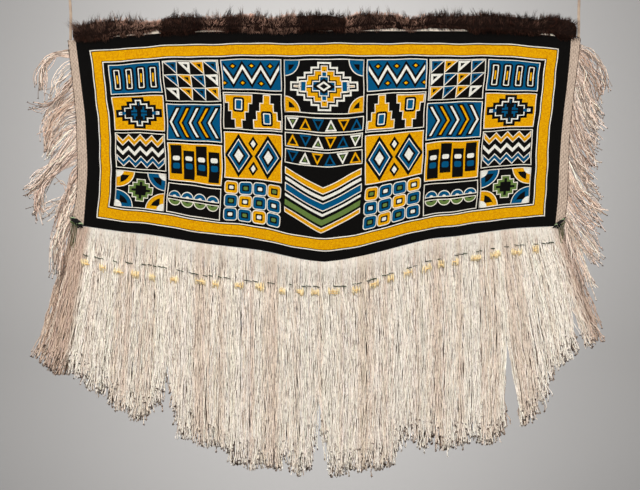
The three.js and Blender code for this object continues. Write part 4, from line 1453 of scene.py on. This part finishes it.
def hair_tones(rng, x, own, upward):
    """The root, middle and tip colour of each hair: dark brown, or pinkish where the fur is thin."""
    count = len(x)
    tuft_pale = np.interp(x, PALE_X, PALE) * (1 + 0.45 * rng.standard_normal(TUFTS)[own])
    pale = np.clip(tuft_pale, 0, 1)[:, None] * rng.uniform(0.4, 1, (count, 1))
    pale = pale * (1 - 0.55 * np.clip(-upward, 0, 1)[:, None])
    tuft_dark = rng.uniform(0.35, 1.2, TUFTS)[own][:, None]
    dark = HAIR_DARK * tuft_dark * rng.uniform(0.4, 1.5, (count, 1))
    light = HAIR_LIGHT * rng.uniform(0.4, 1.2, (count, 1)) * (0.7 + 0.25 * tuft_dark)
    base = dark * (1 - pale) + light * pale
    return base * 0.55, base, base * 1.4 + 0.002


def hair_aims(rng, x, own, out):
    """The way that each hair lies: its tuft's way, along the strip and up, and a little of its own."""
    lean_x = 0.3 * np.sin(x / 47) + 0.28 * rng.standard_normal(TUFTS)[own] + 0.12
    lean_z = np.where(out[:, 2] > UNDERSIDE, 0.8, -0.5) + 0.22 * rng.standard_normal(TUFTS)[own]
    flow = np.stack([lean_x, 0 * x, lean_z], axis=1) + 0.2 * rng.standard_normal((len(x), 3))
    return unit(0.5 * out + 0.8 * flow)


def guard_hairs(rng, own, out, aim, long):
    """Picks the long dark hairs that stand up along the top, and gives all hairs their way and length."""
    count = len(own)
    in_guard_tuft = rng.uniform(0, 1, TUFTS)[own] < GUARD_SHARE
    guard = in_guard_tuft & (out[:, 2] > 0.4) & (rng.uniform(0, 1, count) < GUARD_HAIRS)
    lean = 0.3 * rng.standard_normal(TUFTS)[own] + 0.1 * rng.standard_normal(count)
    upright = np.stack([lean, 0.2 * rng.standard_normal(count), np.ones(count)], axis=1)
    aim = np.where(guard[:, None], unit(upright), aim)
    long = np.where(guard, rng.uniform(13, 34, count) * rng.uniform(0.7, 1.15, TUFTS)[own], long)
    return guard, aim, long


def hair_points(aim, root, middle, tip, wide):
    """Two rings of three points and the tip for each hair, on a thin taper."""
    across = unit(np.cross(aim, np.array([0.3, 0.9, 0.2])))
    other = np.cross(aim, across)
    rings = []
    for centre, size in ((root, 1.0), (middle, 0.75)):
        for k in range(3):
            turn = TURN * k / 3
            rings.append(centre + (math.cos(turn) * across + math.sin(turn) * other) * wide * size)
    return np.stack([*rings, tip], axis=1).reshape(-1, 3)


def make_hairs(name, seed, first, last, material):
    """Tapered hairs on the pelt, drawn together in tufts, with a few long dark ones that stand up."""
    rng = np.random.default_rng(seed)
    x = rng.uniform(first, last, HAIR_COUNT)
    angle = rng.uniform(0, TURN, HAIR_COUNT)
    pale = np.interp(x, PALE_X, PALE)
    root = fur_surface(x, angle, 0.84)
    own, tuft_x, tuft_angle = tufts(rng, x, angle, first, last)
    out = np.stack([0 * x, -np.cos(angle), np.sin(angle)], axis=1)
    aim = hair_aims(rng, x, own, out)
    long = rng.uniform(10, 18, HAIR_COUNT) * rng.uniform(0.75, 1.25, TUFTS)[own]
    long = np.where(out[:, 2] > UNDERSIDE, long, 0.7 * long) * (1 - 0.25 * pale)
    guard, aim, long = guard_hairs(rng, own, out, aim, long)
    sideways = ease((x - FUR_X[-1] + 30) / 26) - ease((FUR_X[0] + 30 - x) / 26)
    aim[:, 0] += 0.9 * sideways
    middle = root + aim * (long * 0.5)[:, None]
    droop = np.array([0, 0, -1]) * (long * 0.08)[:, None] * ~guard[:, None]
    tip = root + (aim + 0.1 * rng.standard_normal((HAIR_COUNT, 3))) * long[:, None] + droop
    gathered = fur_surface(tuft_x, tuft_angle, 1.0) - fur_surface(x, angle, 1.0)
    grip = np.where(guard, 0.4, 0.25 - 0.2 * pale)
    tip = tip + gathered * grip[:, None]
    middle = middle + gathered * 0.2 * grip[:, None]
    middle[:, 1] = np.clip(middle[:, 1], HAIR_FRONT, HAIR_BACK)
    tip[:, 1] = np.clip(tip[:, 1], HAIR_FRONT - 1, HAIR_BACK + 1)
    wide = np.where(guard, 0.6, rng.uniform(0.35, 0.7, HAIR_COUNT))[:, None]
    points = hair_points(aim, root, middle, tip, wide)
    triangles = (np.arange(HAIR_COUNT)[:, None, None] * HAIR_POINTS + HAIR_FACES[None]).reshape(-1, 3)
    low, base, tips = hair_tones(rng, x, own, out[:, 2])
    shade = np.where(guard, 0.4 - 0.24 * pale, 1)[:, None]
    tone = np.stack([low * shade] * 3 + [base * shade] * 3 + [tips * shade], axis=1).reshape(-1, 3)
    obj = make_object(name, points, triangles, material, tone=np.clip(tone, 0, 1))
    return finish_piece(obj, [])


# The twined rows and the corner yarns

GREEN_FIRST, GREEN_LAST = -690, 668
YELLOW_FIRST, YELLOW_LAST = -696, 664
GREEN_RINGS, GREEN_SIDES = 9, 6
YELLOW_RINGS, YELLOW_SIDES = 7, 4
GREEN_TONE = linear(52, 66, 46)
YELLOW_DEEP = linear(236, 197, 132)
YELLOW_PALE = linear(243, 227, 186)


def row_height(x, drops):
    """The height of a twined row, which follows the cloth's lower edge."""
    return np.interp(x, FOOT_X, FOOT_Z) - np.interp(x, ROW_X, drops)


def make_green_row(material):
    """Thin slanting dashes of green yarn that wrap the strands, with gaps where bunches lie over them."""
    rng = np.random.default_rng(31)
    at = GREEN_FIRST
    paths = []
    shares = np.linspace(0, 1, GREEN_RINGS)
    while at < GREEN_LAST:
        for _ in range(rng.integers(1, 4)):
            long = rng.uniform(8, 17)
            x = at + long * shares
            tilt = rng.uniform(0.5, 3.5)
            z = row_height(x, GREEN_DROP) + tilt * (0.5 - shares) + rng.uniform(-1.2, 1.2)
            arch = np.sin(math.pi * shares) ** 0.6
            y = fold(x, z) - 5 - 9.2 * arch
            paths.append(np.stack([x, y, z], axis=1))
            at += long * rng.uniform(0.7, 1.1)
        at += rng.choice([4, 14, 26, 40], p=[0.2, 0.35, 0.3, 0.15])
    paths = np.array(paths)
    radii = np.full(paths.shape[:2], 1.25) * rng.uniform(0.8, 1.2, (len(paths), 1))
    points, triangles, uv = tubes(paths, radii, GREEN_SIDES)
    tone = GREEN_TONE * rng.uniform(0.55, 1.5, (len(paths), 1))
    tone = np.repeat(tone, GREEN_RINGS * GREEN_SIDES, axis=0)
    obj = make_object("green_twining", points, triangles, material, uv, tone)
    return finish_piece(obj, ["twined_row_green"])


def yellow_paths(rng):
    """The ways of the yellow yarns, group by group, and how pale each one is."""
    at = YELLOW_FIRST
    paths = []
    tones = []
    shares = np.linspace(0, 1, YELLOW_RINGS)
    while at < YELLOW_LAST:
        wide = rng.uniform(17, 34)
        low = rng.uniform(-3, 3)
        for _ in range(rng.integers(10, 17)):
            x = at + wide * rng.uniform(0, 1) + rng.uniform(-1.5, 1.5) * shares
            tall = rng.uniform(10, 24)
            z = row_height(x, YELLOW_DROP) + low + rng.uniform(-4, 4) + tall * (0.5 - shares)
            y = fold(x, z) - 6 - rng.uniform(6.5, 10) * np.sin(math.pi * shares) ** 0.5
            paths.append(np.stack([x, y, z], axis=1))
            tones.append(rng.uniform(0.45, 1))
        for _ in range(2):
            x = at + wide * (0.1 + 0.8 * shares)
            z = row_height(x, YELLOW_DROP) + low + rng.uniform(-4, 4) + 2 * (0.5 - shares)
            y = fold(x, z) - 6 - 9 * np.sin(math.pi * shares) ** 0.5
            paths.append(np.stack([x, y, z], axis=1))
            tones.append(0.0)
        at += wide + rng.uniform(16, 46)
    return np.array(paths), np.array(tones)[:, None]


def make_yellow_row(material):
    """Groups of thin yellow yarn ends that lie among the strands, with a cross wrap on each group."""
    rng = np.random.default_rng(37)
    paths, mix = yellow_paths(rng)
    radii = np.full(paths.shape[:2], 1.35) * rng.uniform(0.75, 1.1, (len(paths), 1))
    points, triangles, uv = tubes(paths, radii, YELLOW_SIDES)
    tone = (YELLOW_DEEP * (1 - mix) + YELLOW_PALE * mix) * rng.uniform(0.88, 1.08, (len(paths), 1))
    tone = np.clip(np.repeat(tone, YELLOW_RINGS * YELLOW_SIDES, axis=0), 0, 1)
    obj = make_object("yellow_twining", points, triangles, material, uv, tone)
    return finish_piece(obj, ["twined_row_yellow"])


CORNER_BLACK = linear(18, 17, 17)
CORNER_GREEN = linear(88, 100, 58)
# The pale colour of the binding's thin third ply, a painted highlight
CORNER_HIGHLIGHT = linear(150, 168, 128)
# Name, place, radius, length, how far the loose ends hang, colour
CORNER_YARNS = [
    ("black_left", -709, -552, 5.4, 46, 12, CORNER_BLACK),
    ("green_left", -716, -559, 2.2, 32, 84, CORNER_GREEN),
    ("black_right", 686, -555, 5.0, 42, 12, CORNER_BLACK),
    ("green_right", 691, -562, 2.2, 30, 56, CORNER_GREEN),
]
CORNER_TILT = 0.62
# How thick a loose end is beside its binding, and where along the binding the ends leave it
LOOSE_SHARE = 0.4
LOOSE_STARTS = (-0.3, -0.1, 0.1, 0.3)


def binding_ply(ply, place, radius, run, room, colour):
    """One ply of a binding, wound round its middle line. The last ply is thin and pale, a painted highlight
    on the binding.
    """
    share = np.linspace(-0.5, 0.5, 26)
    turn = TURN * (1.6 * share + ply / 3)
    x = place[0] + run[0] * share + 0.4 * radius * np.sin(turn)
    z = place[1] + run[1] * share + 0.7 * radius * np.sin(turn)
    y = fold(x, z) - room - 0.5 * radius * np.cos(turn)
    taper = np.clip((0.5 - np.abs(share)) / 0.12, 0.55, 1)
    thick = 0.34 if ply == 2 else 0.6
    points, triangles, uv = tubes(np.stack([x, y, z], axis=1)[None], (thick * radius * taper)[None], 8)
    # Painted highlight: the thin third ply is pale
    tone = CORNER_HIGHLIGHT if ply == 2 else colour
    return points, triangles, uv, np.tile(tone, (len(points), 1))


def loose_end(rng, start, place, radius, run, room, hang, colour):
    """A yarn end that hangs from a binding, pale at its tip."""
    rings, sides = 16, 6
    way = math.copysign(1, run[0])
    fall = np.linspace(0, 1, rings)
    long = hang * rng.uniform(0.75, 1)
    x = place[0] + run[0] * start * (1 - 0.6 * fall) + 1.5 * rng.standard_normal() * fall**2
    x = x + 1.4 * np.sin(6 * fall + rng.uniform(0, TURN)) * fall - way * 0.05 * hang * fall
    z = place[1] + run[1] * start - long * fall
    y = fold(x, z) - room - 1.5 - 4 * ease(fall / 0.5)
    radii = np.full((1, rings), LOOSE_SHARE * radius)
    points, triangles, uv = tubes(np.stack([x, y, z], axis=1)[None], radii, sides)
    shade = 0.55 + 0.6 * ease((fall - 0.75) / 0.15)
    return points, triangles, uv, np.repeat(colour[None] * shade[:, None], sides, axis=0)


def make_corner_yarn(name, x, z, radius, length, hang, colour, material):
    """Three plies of yarn bound slantwise over a side band's foot, the third thin and pale as a painted
    highlight, with loose ends that hang from it.
    """
    rng = np.random.default_rng(len(name) + abs(x))
    way = math.copysign(1, -x)
    run = (way * math.cos(CORNER_TILT) * length, -math.sin(CORNER_TILT) * length)
    room = BAND_HALF + 0.6 + radius
    parts = [binding_ply(ply, (x, z), radius, run, room, colour) for ply in range(3)]
    for start in LOOSE_STARTS:
        parts.append(loose_end(rng, start, (x, z), radius, run, room, hang, colour))
    points, triangles, uv, tone = merge_parts(parts)
    obj = make_object(f"corner_binding_{name}", points, triangles, material, uv, tone)
    return finish_piece(obj, [f"corner_yarn_{name}"])


# The room

FLOOR_Z = -3.0
FLOOR_RADIUS = 7.5
WALL_RADIUS = 9.0
WALL_TOP = 7.0
BEND_STEPS = 12
ROOM_SIDES = 96
PAPER = (0.282, 0.274, 0.266, 1)


def room_profile():
    """The sweep's section from the floor's edge through the bend to the wall's top."""
    profile = [(FLOOR_RADIUS, FLOOR_Z)]
    bend = WALL_RADIUS - FLOOR_RADIUS
    for k in range(1, BEND_STEPS + 1):
        turn = math.pi / 2 * k / BEND_STEPS
        profile.append((FLOOR_RADIUS + bend * math.sin(turn), FLOOR_Z + bend * (1 - math.cos(turn))))
    profile.append((WALL_RADIUS, WALL_TOP))
    return profile


def raise_rim(profile):
    """Draws the floor's selected rim up the sweep, step by step."""
    for (radius, z), (next_radius, next_z) in zip(profile, profile[1:]):
        bpy.ops.mesh.extrude_edges_move(TRANSFORM_OT_translate={"value": (0, 0, next_z - z)})
        grow = next_radius / radius
        bpy.ops.transform.resize(value=(grow, grow, 1), center_override=(0, 0, 0))


def make_room():
    """A pale round sweep: floor, a soft curve and a wall all round."""
    bpy.ops.object.select_all(action="DESELECT")
    bpy.ops.mesh.primitive_circle_add(vertices=ROOM_SIDES, radius=FLOOR_RADIUS, fill_type="TRIFAN",
                                      location=(0, 0, FLOOR_Z))
    room = bpy.context.object
    room.name = "studio_sweep"
    bpy.ops.object.mode_set(mode="EDIT")
    bpy.ops.mesh.region_to_loop()
    raise_rim(room_profile())
    bpy.ops.mesh.select_all(action="SELECT")
    bpy.ops.mesh.normals_make_consistent(inside=True)
    bpy.ops.object.mode_set(mode="OBJECT")
    bpy.ops.object.shade_smooth()
    bpy.ops.object.transform_apply(location=True, rotation=False, scale=False)
    material, shader = new_material("studio_paper", 0.95)
    shader.inputs["Base Color"].default_value = PAPER
    room.data.materials.append(material)


# Name, place, what it shines at, size, power and colour
LIGHTS = [
    ("key", (-3.2, -4.6, 2.6), (0, 0, -0.6), (4.0, 3.6), 420, (1, 0.985, 0.96)),
    ("fill", (3.8, -4.4, 1.2), (0, 0, -0.7), (4.2, 3.6), 240, (0.98, 0.99, 1)),
    ("top", (0, -0.6, 4.4), (0, 0, -0.6), (4.0, 3.0), 120, (1, 1, 1)),
    ("behind", (0, 4.6, 2.6), (0, 0, -0.4), (4.0, 2.0), 120, (1, 1, 1)),
    ("glow", (-0.05, 6.3, 0.2), (-0.05, 9, 0.2), (2.0, 3.8), 205, (1, 1, 1)),
]
SKY = (0.93, 0.95, 1, 1)
SKY_POWER = 0.7


def add_light(name, place, aim, size, power, colour):
    """A soft rectangle of light that no camera sees."""
    data = bpy.data.lights.new(name, "AREA")
    data.shape = "RECTANGLE"
    data.size, data.size_y = size
    data.energy = power
    data.color = colour
    light = bpy.data.objects.new(name, data)
    light.location = place
    step = np.array(aim, float) - np.array(place, float)
    tip = math.acos(-step[2] / np.linalg.norm(step))
    light.rotation_euler = (tip, 0, math.atan2(step[1], step[0]) - math.pi / 2)
    light.visible_camera = False
    bpy.context.scene.collection.objects.link(light)


def make_lights():
    for values in LIGHTS:
        add_light(*values)
    world = bpy.data.worlds.new("world")
    world.use_nodes = True
    sky = world.node_tree.nodes["Background"]
    sky.inputs["Color"].default_value = SKY
    sky.inputs["Strength"].default_value = SKY_POWER
    bpy.context.scene.world = world
    bpy.context.scene.view_settings.view_transform = "Standard"


# Making the blanket

# What the two layers of the lower fringe are made with
FRONT = dict(count=770, depth=-4.4, outwards=-1, rings=26, sides=4, radius=1.45, tones=(CREAM, BEIGE),
             beige=0.36, pitch=26, pull=0.07, ragged=75)
BACK = dict(count=620, depth=3.3, outwards=1, rings=24, sides=3, radius=1.75, tones=(BEIGE, PINK),
            beige=0.5, pitch=40, pull=0.06, ragged=60)
# Its four pieces: name, slot, the node each stands for, layer, and where it begins and ends
FRINGES = [
    ("fringe_front_left", "cream_yarn", ["fringe_front"], FRONT, dict(seed=1, first=-704, last=-9)),
    ("fringe_front_right", "cream_yarn", [], FRONT, dict(seed=2, first=-9, last=684)),
    ("fringe_back_left", "warp_yarn", ["fringe_warp_ends"], BACK, dict(seed=3, first=-724, last=-12)),
    ("fringe_back_right", "warp_yarn", [], BACK, dict(seed=4, first=-12, last=700)),
]

field = border_shapes() + pattern_shapes()
cloth, cloth_area = make_cloth(field, woven_wool())
braids = make_lines(field, yarn("white_braid", twist=0.005, low=0.92, high=1.05, scale=300, crinkle_shade=0.2))

yarns = {"cream_yarn": yarn("cream_yarn", crinkle_shade=0.42), "warp_yarn": yarn("warp_yarn", crinkle_shade=0.62)}
for fringe_name, fringe_slot, hidden_nodes, layer_values, end_values in FRINGES:
    make_fringe(fringe_name, fringe_slot, hidden_nodes, yarns[fringe_slot], **layer_values,
                               **end_values)

band_yarn = yarn("band_yarn", twist=0.006, low=0.72, high=1.16, scale=560, crinkle_shade=0.0)
dark_yarn = yarn("dark_yarn", crinkle_shade=0.0)
for side_name, fringe_seed, band_seed, cord_seed in (("left", 5, 21, 23), ("right", 6, 22, 24)):
    make_side_fringe(side_name, fringe_seed, yarns["warp_yarn"])
    make_band(side_name, band_seed, band_yarn)
    make_edge_shade_cord(side_name, cord_seed, dark_yarn)

fur_hair = hair()
make_pelt(fur_hair)
make_hairs("fur_hair_left", 7, FUR_X[0] + 4, 10, fur_hair)
make_hairs("fur_hair_right", 8, 6, FUR_X[-1] - 4, fur_hair)
heading_hide = skin("hide", linear(244, 232, 214), 0.85, 0.86, 1.06, 30)
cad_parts["heading_strip"].material_slots[0].material = heading_hide

make_green_row(yarn("green_yarn", crinkle_shade=0.0))
make_yellow_row(yarn("yellow_yarn", crinkle_shade=0.25))
for corner_values in CORNER_YARNS:
    make_corner_yarn(*corner_values, dark_yarn)

make_room()
make_lights()
